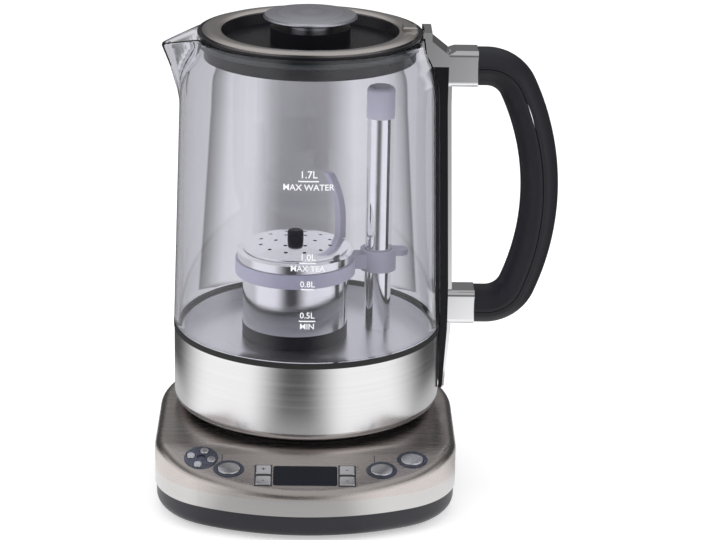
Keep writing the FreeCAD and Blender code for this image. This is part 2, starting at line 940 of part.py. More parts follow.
holes = slope_sketch(deck_solid, as_size(2.0))
window_gap = S.fixed_gap
draw_rounded(
    holes, as_size(0), -S.panel_forward,
    (S.window_half_width + window_gap) * 2.0, (S.window_half_height + window_gap) * 2.0, as_size(1.5),
)
for name, across, forward in panel_places:
    draw_rounded(
        holes, across, -forward,
        S.panel_key_width + S.key_gap * 2.0, S.panel_key_height + S.key_gap * 2.0, as_size(1.2),
    )
for name, across, forward in oval_places:
    draw_oval(holes, across, -forward, S.surround_half_width + S.fixed_gap, S.surround_half_height + S.fixed_gap)
draw_circle(holes, -pad_across, -pad_forward, S.pad_radius + S.fixed_gap)
pocket(deck_solid, holes, as_size(8.0))
lines = slope_sketch(deck_solid)
for side in (-1.0, 1.0):
    middle = panel_line_across * side
    draw_box(
        lines,
        middle - S.panel_line_width / 2.0, -(S.panel_forward + S.window_half_height),
        middle + S.panel_line_width / 2.0, -(S.panel_forward - S.window_half_height),
    )
pocket(deck_solid, lines, S.panel_line_depth)
cut_down(deck_solid, disc_of(S.seat_opening), deck_top + 1.0, as_size(8.0))
deck_hollow = wedge("deck_hollow", S.deck_wall, S.deck_skin, trim_top - 1.0)
deck = keep(difference("deck", deck_solid, deck_hollow))

seat = spun("seat_solid", [
    (S.hub_radius + 3.0, seat_under),
    (S.seat_opening + S.seat_flange, seat_under),
    (S.seat_opening + S.seat_flange, deck_under - S.fixed_gap),
    (S.seat_opening - S.running_gap, deck_under - S.fixed_gap),
    (S.seat_opening - S.running_gap, seat_top),
    (S.hub_radius + 3.0, seat_top),
])
grow_up(seat, at_places(boss_places, S.boss_radius), tray_floor_top, seat_under + 1.0)
boss_bores = new_sketch(seat, "XY_Plane", lift=tray_floor_top)
at_places(boss_places, S.screw_radius + S.fixed_gap / 2.0)(boss_bores)
pocket(seat, boss_bores, S.boss_bore_height, reverse=True)
deck_guard = put(group("deck_guard", [deck]), up=-S.fixed_gap)
keep(difference("seat_plate", seat, deck_guard))

hub = spun("connector_hub", [
    (0, seat_under - S.hub_flange_height),
    (S.hub_radius + S.hub_flange, seat_under - S.hub_flange_height),
    (S.hub_radius + S.hub_flange, seat_under),
    (S.hub_radius, seat_under),
    (S.hub_radius, hub_top - 1.0),
    (S.hub_radius - 1.0, hub_top),
    (0, hub_top),
])
cut_down(hub, disc_of(S.hub_bore), hub_top, S.hub_bore_depth)
contacts = []
for number in range(3):
    inner = S.contact_first + S.contact_pitch * float(number)
    outer = inner + S.contact_groove
    cut_down(hub, ring_of(outer, inner), hub_top, S.contact_depth)
    ring = prism(
        "contact_%d" % (number + 1),
        ring_of(outer - S.fixed_gap, inner + S.fixed_gap),
        hub_top - S.contact_depth,
        hub_top - 0.6,
    )
    contacts.append(ring)
keep(hub)
keep(group("connector_contacts", contacts))

shutter_inner = S.hub_radius + S.running_gap
keep(spun("connector_shutter", [
    (shutter_inner, seat_under + S.running_gap),
    (shutter_inner + S.shutter_width, seat_under + S.running_gap),
    (shutter_inner + S.shutter_width, seat_under + S.running_gap + S.shutter_height - 0.6),
    (shutter_inner + S.shutter_width - 0.6, seat_under + S.running_gap + S.shutter_height),
    (shutter_inner, seat_under + S.running_gap + S.shutter_height),
]))


# Base: boards and controls

def slope_block(label, draw, low, high):
    """A body on the sloping face, raised between two depths from what draw puts in its sketch."""
    body = new_body(label)
    sketch = slope_sketch(body, as_size(low))
    draw(sketch)
    pad(body, sketch, as_size(high) - low)
    return body


board_top = -S.board_depth


def draw_board(sketch):
    """Draws the control board's outline, stepped and cut off at its corners to follow the controls."""
    wide = pad_across + S.pad_key_circle + S.switch_side / 2.0 + S.board_edge
    shoulder = wide - S.board_shoulder
    ear = pad_forward + S.board_ear
    step = pad_forward + S.pad_key_circle + S.switch_side / 2.0
    waist_half = oval_near_across + S.board_margin
    waist = S.oval_near_forward + S.board_margin
    nose_half = panel_key_across + S.board_margin
    nose = S.panel_forward + module_half_height + 1.0
    right_side = [
        (nose_half, -nose),
        (nose_half, -waist),
        (waist_half, -waist),
        (waist_half, -step),
        (shoulder, -step),
        (wide, -ear),
        (wide, S.board_rear),
    ]
    left_side = [(-across, up) for across, up in reversed(right_side)]
    draw_path(sketch, right_side + left_side)


keep(slope_block("control_board", draw_board, board_top - S.board_thickness, board_top))
keep(slope_block(
    "display_module",
    lambda sketch: draw_rounded(
        sketch, as_size(0), -S.panel_forward,
        module_half_width * 2.0,
        module_half_height * 2.0,
        as_size(1.0),
    ),
    board_top,
    -S.window_thickness - S.fixed_gap,
))
keep(slope_block(
    "display_window",
    lambda sketch: draw_rounded(
        sketch, as_size(0), -S.panel_forward, S.window_half_width * 2.0, S.window_half_height * 2.0, as_size(1.4),
    ),
    -S.window_thickness,
    as_size(0),
))

power = prism(
    "power_board",
    lambda sketch: draw_box(
        sketch, -S.power_board_half, -S.power_board_far, S.power_board_half, -S.power_board_near
    ),
    tray_floor_top + S.power_board_rise,
    tray_floor_top + S.power_board_rise + S.board_thickness,
)
power_top = tray_floor_top + S.power_board_rise + S.board_thickness
stand_places = [
    (S.power_board_half * side - 4.0 * side, -depth)
    for side in (-1.0, 1.0)
    for depth in (S.power_board_near + 4.0, S.power_board_far - 4.0)
]
grow_up(power, at_places(stand_places, as_size(2.5)), tray_floor_top, tray_floor_top + S.power_board_rise + 0.5)
grow_up(
    power,
    lambda sketch: draw_box(
        sketch,
        -S.power_board_half + 3.0, -S.power_board_far + 4.0,
        -S.power_board_half + 3.0 + S.relay_length, -S.power_board_far + 4.0 + S.relay_width,
    ),
    power_top - 0.5,
    power_top + S.relay_height,
)
grow_up(
    power,
    lambda sketch: draw_circle(
        sketch, S.power_board_half - S.coil_radius - 6.0, -(S.power_board_near + S.power_board_far) / 2.0, S.coil_radius
    ),
    power_top - 0.5,
    power_top + S.coil_height,
)
keep(power)

surrounds = {}
for name, across, forward in oval_places:
    ring = slope_block(
        name + "_surround",
        lambda sketch: draw_oval(sketch, across, -forward, S.surround_half_width, S.surround_half_height),
        -S.surround_depth,
        S.surround_proud,
    )
    flange = slope_sketch(ring, -S.surround_depth)
    draw_oval(
        flange, across, -forward,
        S.surround_half_width + S.surround_flange, S.surround_half_height + S.surround_flange,
    )
    pad(ring, flange, flange_thickness)
    mouth = slope_sketch(ring, S.surround_proud)
    draw_oval(
        mouth, across, -forward, S.surround_half_width - S.surround_rim, S.surround_half_height - S.surround_rim
    )
    pocket(ring, mouth, S.surround_depth + S.surround_proud)
    surrounds[name] = ring
disc = slope_block(
    "pad_surround",
    lambda sketch: draw_circle(sketch, -pad_across, -pad_forward, S.pad_radius),
    -S.surround_depth,
    S.surround_proud,
)
flange = slope_sketch(disc, -S.surround_depth)
draw_circle(flange, -pad_across, -pad_forward, S.pad_radius + S.surround_flange)
pad(disc, flange, flange_thickness)
mouths = slope_sketch(disc, S.surround_proud)
for name, across, forward in pad_places:
    draw_circle(mouths, across, -forward, S.pad_key_radius + S.key_gap)
pocket(disc, mouths, S.surround_depth + S.surround_proud)
dimple = slope_sketch(disc, S.surround_proud)
draw_circle(dimple, -pad_across, -pad_forward, S.pad_dimple)
pocket(disc, dimple, as_size(0.7))
surrounds["menu_button"] = joined("left_surround", surrounds["menu_button"], disc)
keep(group("button_surrounds", list(surrounds.values())))

flange_top = -S.surround_depth - S.running_gap
switch_top = -S.board_depth + S.switch_height
stem_low = switch_top + S.key_travel + 0.15


def key(label, across, forward, draw):
    """A key that slides along the slope's normal, with a flange under the deck and a stem above its switch."""
    body = new_body(label)
    top = new_sketch(body, "XY_Plane", lift=flange_top - S.key_flange_height)
    draw(top, as_size(0))
    pad(body, top, S.key_proud - flange_top + S.key_flange_height)
    height = S.key_proud.value
    round_edges(
        body,
        as_size(0.6),
        lambda edge: abs(edge.BoundBox.ZMin - height) < 0.01 and abs(edge.BoundBox.ZMax - height) < 0.01,
    )
    skirt = new_sketch(body, "XY_Plane", lift=flange_top - S.key_flange_height)
    draw(skirt, S.key_flange)
    pad(body, skirt, S.key_flange_height)
    stem = new_sketch(body, "XY_Plane", lift=stem_low)
    draw_circle(stem, 0, 0, S.key_stem)
    pad(body, stem, flange_top - S.key_flange_height - stem_low + 0.3)
    return keep(put_on_slope(body, across, forward))


def draw_oval_key(sketch, grow):
    """Draws the outline of an oval key."""
    draw_oval(
        sketch, as_size(0), as_size(0),
        S.surround_half_width - S.surround_rim - S.key_gap + grow,
        S.surround_half_height - S.surround_rim - S.key_gap + grow,
    )


def draw_panel_key(sketch, grow):
    """Draws the outline of a panel key."""
    draw_rounded(
        sketch, as_size(0), as_size(0), S.panel_key_width + grow, S.panel_key_height + grow, as_size(1.0)
    )


def draw_pad_key(sketch, grow):
    """Draws the outline of a pad key."""
    draw_circle(sketch, 0, 0, S.pad_key_radius + grow * 0.7)


switches = []
for places, draw in ((oval_places, draw_oval_key), (panel_places, draw_panel_key), (pad_places, draw_pad_key)):
    for name, across, forward in places:
        key(name, across, forward, draw)
        switch = slope_block(
            name + "_switch",
            lambda sketch: draw_rounded(sketch, across, -forward, S.switch_side, S.switch_side, as_size(0.6)),
            board_top,
            switch_top,
        )
        switches.append(switch)
keep(group("tact_switches", switches))


# Jug: band, gasket, floor and heater

band_corner = S.jug_radius - S.band_round
band_lip = S.foot_ring_radius + 2.0
keep(spun("jug_band", [
    (band_lip, band_bottom),
    (band_corner, band_bottom),
    (S.jug_radius, band_bottom + S.band_round, S.band_round),
    (S.jug_radius, band_top),
    (S.jug_radius - S.band_wall, band_top),
    (S.jug_radius - S.band_wall, band_bottom + S.band_round),
    (band_corner, band_bottom + S.band_wall, -(S.band_round - S.band_wall)),
    (band_lip, band_bottom + S.band_wall),
]))

gasket_outer = glass_foot_radius + S.fixed_gap
gasket_inner = S.jug_radius - S.band_wall - S.gasket_skirt - 1.4
keep(spun("jug_gasket", [
    (gasket_inner, band_top - S.gasket_skirt_depth),
    (S.jug_radius - S.band_wall - S.fixed_gap, band_top - S.gasket_skirt_depth),
    (S.jug_radius - S.band_wall - S.fixed_gap, band_top),
    (gasket_outer, band_top),
    (gasket_outer, glass_bottom),
    (gasket_inner, glass_bottom),
]))

floor_outer = gasket_inner - S.fixed_gap
floor_piece = spun("jug_floor", [
    (0, floor_under),
    (floor_outer, floor_under),
    (floor_outer, S.floor_height + S.floor_rim_height),
    (floor_outer - S.floor_thickness, S.floor_height + S.floor_rim_height),
    (floor_outer - S.floor_thickness, S.floor_height),
    (0, S.floor_height),
])
post_place = [(S.post_across, S.post_back)]
cut_down(floor_piece, at_places(post_place, S.post_radius + S.fixed_gap), S.floor_height, S.floor_thickness)
keep(floor_piece)

heater = prism("heating_element", disc_of(S.plate_radius), plate_under, plate_top)
tube = new_sketch(heater, "XZ_Plane")
draw_circle(tube, -S.element_circle, plate_under - S.element_tube + 0.6, S.element_tube)
coil = heater.newObject("PartDesign::Revolution", "heating_element_coil")
coil.Profile = tube
coil.ReferenceAxis = (tube, ["V_Axis"])
coil.Midplane = True
coil.setExpression("Angle", "(%s) * 1 deg" % S.element_sweep.text)
finish_feature(heater, coil, "coil")
cut_down(heater, at_places(post_place, S.post_radius + S.post_flange + S.fixed_gap), plate_top, S.plate_thickness)
keep(heater)

probe = prism("temperature_probe", disc_of(as_size(4.0)), plate_under - 7.0, plate_under)
grow_up(probe, disc_of(as_size(2.0)), plate_under - 11.0, plate_under - 6.5)
keep(put(probe, 0, 25.0))


# Jug: underside and connector

underside_screw_places = round_places(4, cup_outer + S.underside_screw_reach, 45.0)
foot_ring_inner = S.foot_ring_radius - S.foot_ring_width
underside = spun("jug_underside", [
    (cup_outer + S.fixed_gap, underside_low),
    (foot_ring_inner, underside_low),
    (foot_ring_inner, seat_top + S.running_gap),
    (S.foot_ring_radius, seat_top + S.running_gap),
    (S.foot_ring_radius, underside_low),
    (band_corner + 1.2, underside_low),
    (band_corner + 1.2, underside_top),
    (cup_outer + S.fixed_gap, underside_top),
])
cut_down(
    underside, at_places(underside_screw_places, S.screw_radius + S.fixed_gap), underside_top, S.underside_thickness
)
keep(underside)

cup_flange_low = underside_top
cup_flange_top = underside_top + S.cup_flange_thickness
cup = spun("jug_connector", [
    (0, cup_top - S.cup_roof),
    (cup_inner, cup_top - S.cup_roof),
    (cup_inner, cup_low),
    (cup_outer, cup_low),
    (cup_outer, cup_flange_low),
    (cup_outer + S.cup_flange, cup_flange_low),
    (cup_outer + S.cup_flange, cup_flange_top),
    (cup_outer, cup_flange_top),
    (cup_outer, cup_top),
    (0, cup_top),
])
grow_up(cup, disc_of(S.pin_radius), cup_top - S.cup_roof - S.pin_length, cup_top - S.cup_roof + 0.5)
cut_down(
    cup, at_places(underside_screw_places, S.screw_radius + S.fixed_gap / 2.0),
    cup_flange_top, S.cup_flange_thickness,
)
keep(cup)

screws = []
for number, (across, back) in enumerate(underside_screw_places):
    item = screw("underside_screw_%d" % (number + 1), S.underside_screw_length)
    screws.append(put(item, across, back, underside_low - S.screw_head_height))
keep(group("underside_screws", screws))


# Jug: lift post with its motor and screw

post = spun("lift_post", [
    (S.post_radius - S.post_wall, post_bottom),
    (S.post_radius + S.post_flange, post_bottom),
    (S.post_radius + S.post_flange, post_bottom + S.post_flange_height),
    (S.post_radius, post_bottom + S.post_flange_height),
    (S.post_radius, post_top),
    (S.post_radius - S.post_wall, post_top),
])
keep(put(post, S.post_across, S.post_back))

plug_radius = S.post_radius - S.post_wall - S.fixed_gap
cap = spun("post_cap", [
    (0, post_top - S.cap_plug),
    (plug_radius, post_top - S.cap_plug),
    (plug_radius, post_top),
    (S.cap_radius, post_top),
    (S.cap_radius, cap_top - S.cap_round),
    (S.cap_radius - S.cap_round, cap_top, S.cap_round),
    (0, cap_top),
])
keep(put(cap, S.post_across, S.post_back))

motor_low = cup_flange_top + 1.0
motor_top = motor_low + S.motor_length
motor = spun("lift_motor", [
    (0, motor_low),
    (S.motor_radius, motor_low),
    (S.motor_radius, motor_top),
    (S.motor_neck, motor_top),
    (S.motor_neck, motor_top + S.motor_neck_height),
    (S.lead_shaft + S.running_gap, motor_top + S.motor_neck_height),
    (S.lead_shaft + S.running_gap, motor_top),
    (0, motor_top),
])
keep(put(motor, S.post_across, S.post_back))

lead_low = motor_top + S.running_gap
lead = spun("lead_screw", [
    (0, lead_low),
    (S.lead_shaft, lead_low),
    (S.lead_shaft, lead_low + S.lead_shaft_length),
    (S.lead_radius, lead_low + S.lead_shaft_length),
    (S.lead_radius, post_top - S.cap_plug - 0.5),
    (0, post_top - S.cap_plug - 0.5),
])
keep(put(lead, S.post_across, S.post_back))

nut_outer = S.post_radius - S.post_wall - S.running_gap
nut = spun("magnet_nut", [
    (S.lead_radius + S.running_gap, collar_low),
    (nut_outer, collar_low),
    (nut_outer, collar_top),
    (S.lead_radius + S.running_gap, collar_top),
])
keep(put(nut, S.post_across, S.post_back))


# Carriage and tea basket

ring_inner = S.basket_radius + 0.4
carriage = new_body("carriage")
ring = new_sketch(carriage, "XY_Plane", lift=ring_low)
draw_circle(ring, S.basket_across, 0, ring_inner + S.carriage_ring_width)
draw_circle(ring, S.basket_across, 0, ring_inner)
pad(carriage, ring, S.carriage_ring_height)
arm_start = S.basket_across + S.basket_radius + 1.0
arm_end = S.post_across - S.post_radius + 1.0
grow_up(
    carriage,
    lambda sketch: draw_box(
        sketch, arm_start, S.post_back - S.arm_before, arm_end, S.post_back + S.arm_behind
    ),
    ring_low,
    ring_top,
)
collar_inner = S.post_radius + S.running_gap
collar = new_sketch(carriage, "XY_Plane", lift=collar_low)
draw_circle(collar, S.post_across, S.post_back, collar_inner + S.collar_width)
draw_circle(collar, S.post_across, S.post_back, collar_inner)
pad(carriage, collar, S.collar_height)
tab_start = S.post_across + collar_inner + 0.6
tab_end = S.post_across + collar_inner + S.collar_width + S.tab_reach
grow_up(
    carriage,
    lambda sketch: draw_path(sketch, [
        (tab_start, S.post_back - S.tab_half_width),
        (tab_end - S.tab_half_width, S.post_back - S.tab_half_width),
        (tab_end, S.post_back, S.tab_half_width),
        (tab_end - S.tab_half_width, S.post_back + S.tab_half_width, S.tab_half_width),
        (tab_start, S.post_back + S.tab_half_width),
    ]),
    collar_top - S.tab_thickness,
    collar_top,
)
cut_down(carriage, at_places(post_place, collar_inner), collar_top, S.collar_height)
keep(carriage)

drum_inner = S.basket_radius - S.basket_wall
drum = spun("basket_drum", [
    (0, basket_bottom),
    (S.basket_radius, basket_bottom),
    (S.basket_radius, flange_low),
    (S.basket_radius + S.basket_flange, flange_low),
    (S.basket_radius + S.basket_flange, basket_rim - 1.0),
    (S.basket_radius + S.basket_flange - 1.0, basket_rim),
    (drum_inner, basket_rim),
    (drum_inner, basket_bottom + S.basket_wall),
    (0, basket_bottom + S.basket_wall),
])
keep(put(drum, S.basket_across, 0))

base_outer = S.basket_radius + S.basket_base_proud
keep(put(spun("basket_base", [
    (base_outer - S.basket_base_width, basket_low),
    (base_outer, basket_low),
    (base_outer, basket_bottom),
    (base_outer - S.basket_base_width, basket_bottom),
]), S.basket_across, 0))

lid_plug_radius = drum_inner - S.running_gap
basket_lid_low = basket_rim + S.running_gap
basket_lid_rim = basket_lid_low + S.basket_lid_edge
lid_edge_radius = S.lever_circle - S.lever_depth / 2.0 - 0.4
dome_radius = (
    (lid_edge_radius * lid_edge_radius + S.basket_lid_dome * S.basket_lid_dome) / (2.0 * S.basket_lid_dome)
)
basket_lid = spun("basket_lid", [
    (0, basket_rim - S.basket_lid_plug),
    (lid_plug_radius, basket_rim - S.basket_lid_plug),
    (lid_plug_radius, basket_lid_low),
    (lid_edge_radius, basket_lid_low),
    (lid_edge_radius, basket_lid_rim),
    (0, basket_lid_rim + S.basket_lid_dome, dome_radius),
])
hollow_top = basket_rim - S.basket_lid_plug + 2.2
cut_up = new_sketch(basket_lid, "XY_Plane", lift=basket_rim - S.basket_lid_plug)
draw_circle(cut_up, 0, 0, lid_plug_radius - 1.4)
pocket(basket_lid, cut_up, hollow_top - (basket_rim - S.basket_lid_plug), reverse=True)
hole_places = round_places(6, S.basket_hole_inner) + round_places(12, S.basket_hole_outer, 15.0)
cut_down(
    basket_lid, at_places(hole_places, S.basket_hole_radius), basket_lid_rim + S.basket_lid_dome + 1.0, as_size(9.0)
)
keep(put(basket_lid, S.basket_across, 0))

knob_foot = basket_lid_rim + S.basket_lid_dome
keep(put(spun("basket_lid_knob", [
    (0, knob_foot),
    (S.basket_knob_radius, knob_foot),
    (S.basket_knob_radius, knob_foot + S.basket_knob_height - 1.5),
    (S.basket_knob_radius - 1.5, knob_foot + S.basket_knob_height, as_size(1.5)),
    (0, knob_foot + S.basket_knob_height),
]), S.basket_across, 0))

lever_half = S.lever_width / 2.0
lever = plate("basket_handle", [
    (-lever_half, 0),
    (lever_half, 0),
    (lever_half, S.lever_upright),
    (lever_half + S.lever_lean, S.lever_rise, -S.lever_curve),
    (-lever_half + S.lever_lean, S.lever_rise),
    (-lever_half, S.lever_upright, S.lever_curve),
], S.lever_depth / 2.0)
lever.Placement = Placement(Vector(0, 0, 0), Rotation(Vector(0, 0, 1), SIZES["lever_angle"] + 90.0))
lever.setExpression("Placement.Rotation.Angle", (S.lever_angle + 90.0).text)
put(
    lever,
    S.basket_across + S.lever_circle * cosine(S.lever_angle),
    S.lever_circle * sine(S.lever_angle),
    basket_rim,
)
keep(lever)


# Lid

dish_floor = lid_flange_top - S.lid_floor_depth
dish_under = dish_floor - S.lid_floor_thickness
skirt_low = lid_flange_low - S.lid_skirt_depth
keep(spun("lid_dish", [
    (0, dish_under),
    (S.lid_skirt_radius - S.lid_skirt_wall, dish_under),
    (S.lid_skirt_radius - S.lid_skirt_wall, skirt_low),
    (S.lid_skirt_radius, skirt_low),
    (S.lid_skirt_radius, lid_flange_low),
    (S.lid_flange_radius, lid_flange_low),
    (S.lid_flange_radius, lid_flange_top),
    (S.lid_ring_inner, lid_flange_top),
    (S.lid_ring_inner - 2.0, dish_floor),
    (S.pedestal_radius, dish_floor),
    (S.pedestal_radius, pedestal_top),
    (0, pedestal_top),
]))

ring_piece = spun("lid_ring", [
    (S.lid_ring_inner, lid_flange_top),
    (S.lid_ring_outer, lid_flange_top),
    (S.lid_ring_outer, lid_flange_top + S.lid_ring_edge),
    (S.lid_ring_inner, lid_flange_top + S.lid_ring_edge, S.lid_ring_crown),
])
cut_down(
    ring_piece,
    lambda sketch: draw_box(
        sketch,
        S.tab_inner - S.fixed_gap, -S.lid_tab_half_width - S.fixed_gap,
        S.tab_outer + S.fixed_gap, S.lid_tab_half_width + S.fixed_gap,
    ),
    lid_flange_top + 4.0,
    as_size(4.0),
)
keep(ring_piece)

tab_piece = prism(
    "lid_tab",
    lambda sketch: draw_box(
        sketch, S.tab_inner, -S.lid_tab_half_width, S.tab_outer, S.lid_tab_half_width
    ),
    lid_flange_top,
    lid_flange_top + S.lid_tab_height,
)
tab_height = lid_flange_top.value + SIZES["lid_tab_height"]
round_edges(tab_piece, as_size(1.0), lambda edge: edge.BoundBox.ZMin > tab_height - 0.01)
keep(tab_piece)

seal_top = S.rim_height - S.seal_drop
seal_inner = S.lid_skirt_radius + S.fixed_gap
keep(spun("lid_seal", [
    (seal_inner, seal_top - S.seal_height),
    (seal_inner + S.seal_width, seal_top - S.seal_height + 1.0),
    (seal_inner + S.seal_width, seal_top - 1.0),
    (seal_inner, seal_top),
]))

knob_face = S.knob_radius - S.knob_chamfer
knob_crown = (knob_face * knob_face + S.knob_dome * S.knob_dome) / (2.0 * S.knob_dome)
keep(spun("lid_knob", [
    (0, pedestal_top),
    (S.knob_stem_radius, pedestal_top),
    (S.knob_stem_radius, knob_low),
    (knob_face, knob_low),
    (S.knob_radius, knob_low + S.knob_chamfer),
    (S.knob_radius, knob_low + S.knob_edge - S.knob_chamfer),
    (knob_face, knob_low + S.knob_edge),
    (0, knob_low + S.knob_edge + S.knob_dome, knob_crown),
]))


# Jug: glass with its spout

shoulder_drop = S.shoulder_radius - S.neck_radius
shoulder_rise = S.neck_height - S.shoulder_height
shoulder_arc = (shoulder_drop * shoulder_drop + shoulder_rise * shoulder_rise) / (2.0 * shoulder_drop)


def glass_profile(inset, low, high, lean):
    """Steps up the glass's side, taken in by inset, from the axis and back to it."""
    return [
        (0, low),
        (glass_foot_radius - inset, low),
        (S.shoulder_radius - inset, S.shoulder_height),
        (S.neck_radius - inset, S.neck_height, shoulder_arc),
        (S.rim_radius - inset + lean, high),
        (0, high),
    ]


def draw_spout(sketch, reach, half, root_reach, tip_half, tip_radius):
    """Draws a pointed section of the spout, open towards the jug."""
    draw_path(sketch, [
        (-root_reach, -half),
        (-root_reach, half),
        (-reach, tip_half),
        (-reach, -tip_half, tip_radius),
    ])


def spout_loft(body, kind, inset, half_inset):
    """Adds or cuts the spout through its three sections."""
    sections = []
    levels = (
        (spout_low_height, S.spout_low_reach, S.spout_low_half, S.spout_low_root),
        (spout_mid_height, S.spout_mid_reach, S.spout_mid_half, S.spout_mid_root),
        (spout_top_height, S.spout_top_reach, S.spout_top_half, S.spout_top_root),
    )
    for height, reach, half, root_reach in levels:
        section = new_sketch(body, "XY_Plane", lift=height)
        draw_spout(
            section, reach - inset, half - half_inset, root_reach,
            S.spout_tip_half - half_inset * 0.3, S.spout_tip_radius - half_inset * 0.3,
        )
        sections.append(section)
    loft = body.newObject(kind, body.Name + "_loft")
    loft.Profile = sections[0]
    loft.Sections = sections[1:]
    loft.Ruled = True
    return finish_feature(body, loft, "loft")


glass = spun("glass_jug", glass_profile(as_size(0), glass_bottom, S.rim_height, as_size(0)))
spout_loft(glass, "PartDesign::AdditiveLoft", as_size(0), as_size(0))
cavity = new_sketch(glass, "XZ_Plane")
draw_path(cavity, glass_profile(S.glass_wall, glass_bottom - 1.0, S.rim_height + 5.0, as_size(0)))
groove = glass.newObject("PartDesign::Groove", "glass_jug_groove")
groove.Profile = cavity
groove.ReferenceAxis = (cavity, ["V_Axis"])
groove.Angle = 360.0
finish_feature(glass, groove, "groove")
spout_loft(glass, "PartDesign::SubtractiveLoft", S.glass_wall * 1.3, S.glass_wall * 1.1)
mouth = new_sketch(glass, "XZ_Plane")
spout_far = S.spout_top_reach + 15.0
draw_path(mouth, [
    (-S.spout_slope_start, S.rim_height),
    (-S.spout_slope_start, S.rim_height + 10.0),
    (-spout_far, S.rim_height + 10.0),
    (-spout_far, S.rim_height - (spout_far - S.spout_slope_start) * tangent(S.spout_slope)),
])
pocket(glass, mouth, S.jug_radius * 2.0, middle=True)
above_rim = S.spout_overrun * 2.0
cut_down(
    glass,
    lambda sketch: draw_box(sketch, -spout_far, -S.jug_radius, -S.spout_top_root * 0.7, S.jug_radius),
    S.rim_height + above_rim,
    above_rim,
)
keep(glass)


# Handle

form_gap = S.spine_gap
form = spun("handle_form", [
    (0, S.spine_foot - 10.0),
    (S.jug_radius + form_gap, S.spine_foot - 10.0),
    (S.jug_radius + form_gap, band_top - 1.0),
    (gasket_outer + form_gap, band_top),
    (gasket_outer + form_gap, glass_bottom),
    (S.shoulder_radius + form_gap, S.shoulder_height),
    (S.neck_radius + form_gap, S.neck_height, shoulder_arc),
    (S.rim_radius + form_gap, S.rim_height + form_gap),
    (S.lid_flange_radius + 0.6, S.rim_height + form_gap),
    (S.lid_flange_radius + 0.6, S.clip_top + 5.0),
    (0, S.clip_top + 5.0),
])
inside = S.rim_radius - 10.0
spine_block = plate("spine_block", [
    (inside, S.spine_foot),
    (S.spine_foot_reach, S.spine_foot),
    (S.spine_low_reach, S.spine_low_bend),
    (S.spine_low_reach, S.spine_low_end),
    (S.spine_high_reach, S.spine_high_start),
    (S.spine_high_reach, S.spine_top),
    (inside, S.spine_top),
], S.spine_half_width)
keep(difference("handle_spine", spine_block, form))

strip_low_end = S.lower_bracket_high + S.fixed_gap
strip_high_end = S.upper_bracket_low - S.fixed_gap
upper_strip = plate("upper_strip", [
    (S.spine_low_reach, strip_low_end),
    (S.spine_low_reach + S.strip_thickness, strip_low_end),
    (S.spine_low_reach + S.strip_thickness, S.spine_low_end),
    (S.spine_high_reach + S.strip_thickness, S.spine_high_start),
    (S.spine_high_reach + S.strip_thickness, strip_high_end),
    (S.spine_high_reach, strip_high_end),
    (S.spine_high_reach, S.spine_high_start),
    (S.spine_low_reach, S.spine_low_end),
], S.strip_half_width)
lower_strip = plate("lower_strip", [
    (S.spine_foot_reach, S.spine_foot),
    (S.spine_foot_reach + S.strip_foot_thickness, S.spine_foot),
    (S.spine_low_reach + S.strip_thickness, S.spine_low_bend),
    (S.spine_low_reach + S.strip_thickness, S.lower_bracket_low - S.fixed_gap),
    (S.spine_low_reach, S.lower_bracket_low - S.fixed_gap),
    (S.spine_low_reach, S.spine_low_bend),
], S.strip_half_width)
keep(group("spine_trim", [upper_strip, lower_strip]))

clip_block = plate("clip_block", [
    (inside, S.spine_top + S.fixed_gap),
    (S.spine_high_reach, S.spine_top + S.fixed_gap),
    (S.spine_high_reach, S.clip_shoulder),
    (S.clip_neck_reach, S.clip_neck),
    (S.clip_neck_reach, S.clip_top),
    (inside, S.clip_top),
], S.clip_half_width)
keep(difference("rim_clip", clip_block, form))


def along_x(edge):
    """Whether an edge runs along X at one side of a bracket."""
    box = edge.BoundBox
    return box.YLength < 0.01 and box.ZLength < 0.01


def drill_bracket(body, start, heights):
    """Screw holes through a bracket along X, with room for the heads at the jug's side."""
    heads = new_sketch(body, "YZ_Plane", lift=start)
    for height in heights:
        draw_circle(heads, 0, height, S.screw_head + S.fixed_gap)
    pocket(body, heads, S.screw_head_height + S.fixed_gap, reverse=True)
    shafts = new_sketch(body, "YZ_Plane", lift=start)
    for height in heights:
        draw_circle(shafts, 0, height, S.screw_radius + S.fixed_gap)
    pocket(body, shafts, as_size(40.0), reverse=True)


split_high = S.grip_high + 1.5
split_low = S.grip_low - 1.5
high_screws = [split_high + 4.6, split_high - 6.2]
low_screws = [split_low - 4.6, split_low + 6.2]

upper_bracket = plate("upper_bracket", [
    (S.spine_high_reach, S.upper_bracket_low),
    (S.upper_bracket_end, S.upper_bracket_low),
    (S.upper_bracket_end, S.upper_bracket_high),
    (S.spine_high_reach + 4.0, S.upper_bracket_high),
    (S.spine_high_reach, S.clip_shoulder),
], S.bracket_half_width)
round_edges(upper_bracket, S.bracket_round, along_x)
drill_bracket(upper_bracket, S.spine_high_reach, high_screws)
keep(upper_bracket)

lower_bracket = plate("lower_bracket", [
    (S.spine_low_reach, S.lower_bracket_low),
    (S.lower_bracket_end, S.lower_bracket_low),
    (S.lower_bracket_end, S.lower_bracket_high),
    (S.spine_low_reach, S.lower_bracket_high),
], S.bracket_half_width)
round_edges(lower_bracket, S.bracket_round, along_x)
drill_bracket(lower_bracket, S.spine_low_reach, low_screws)
keep(lower_bracket)

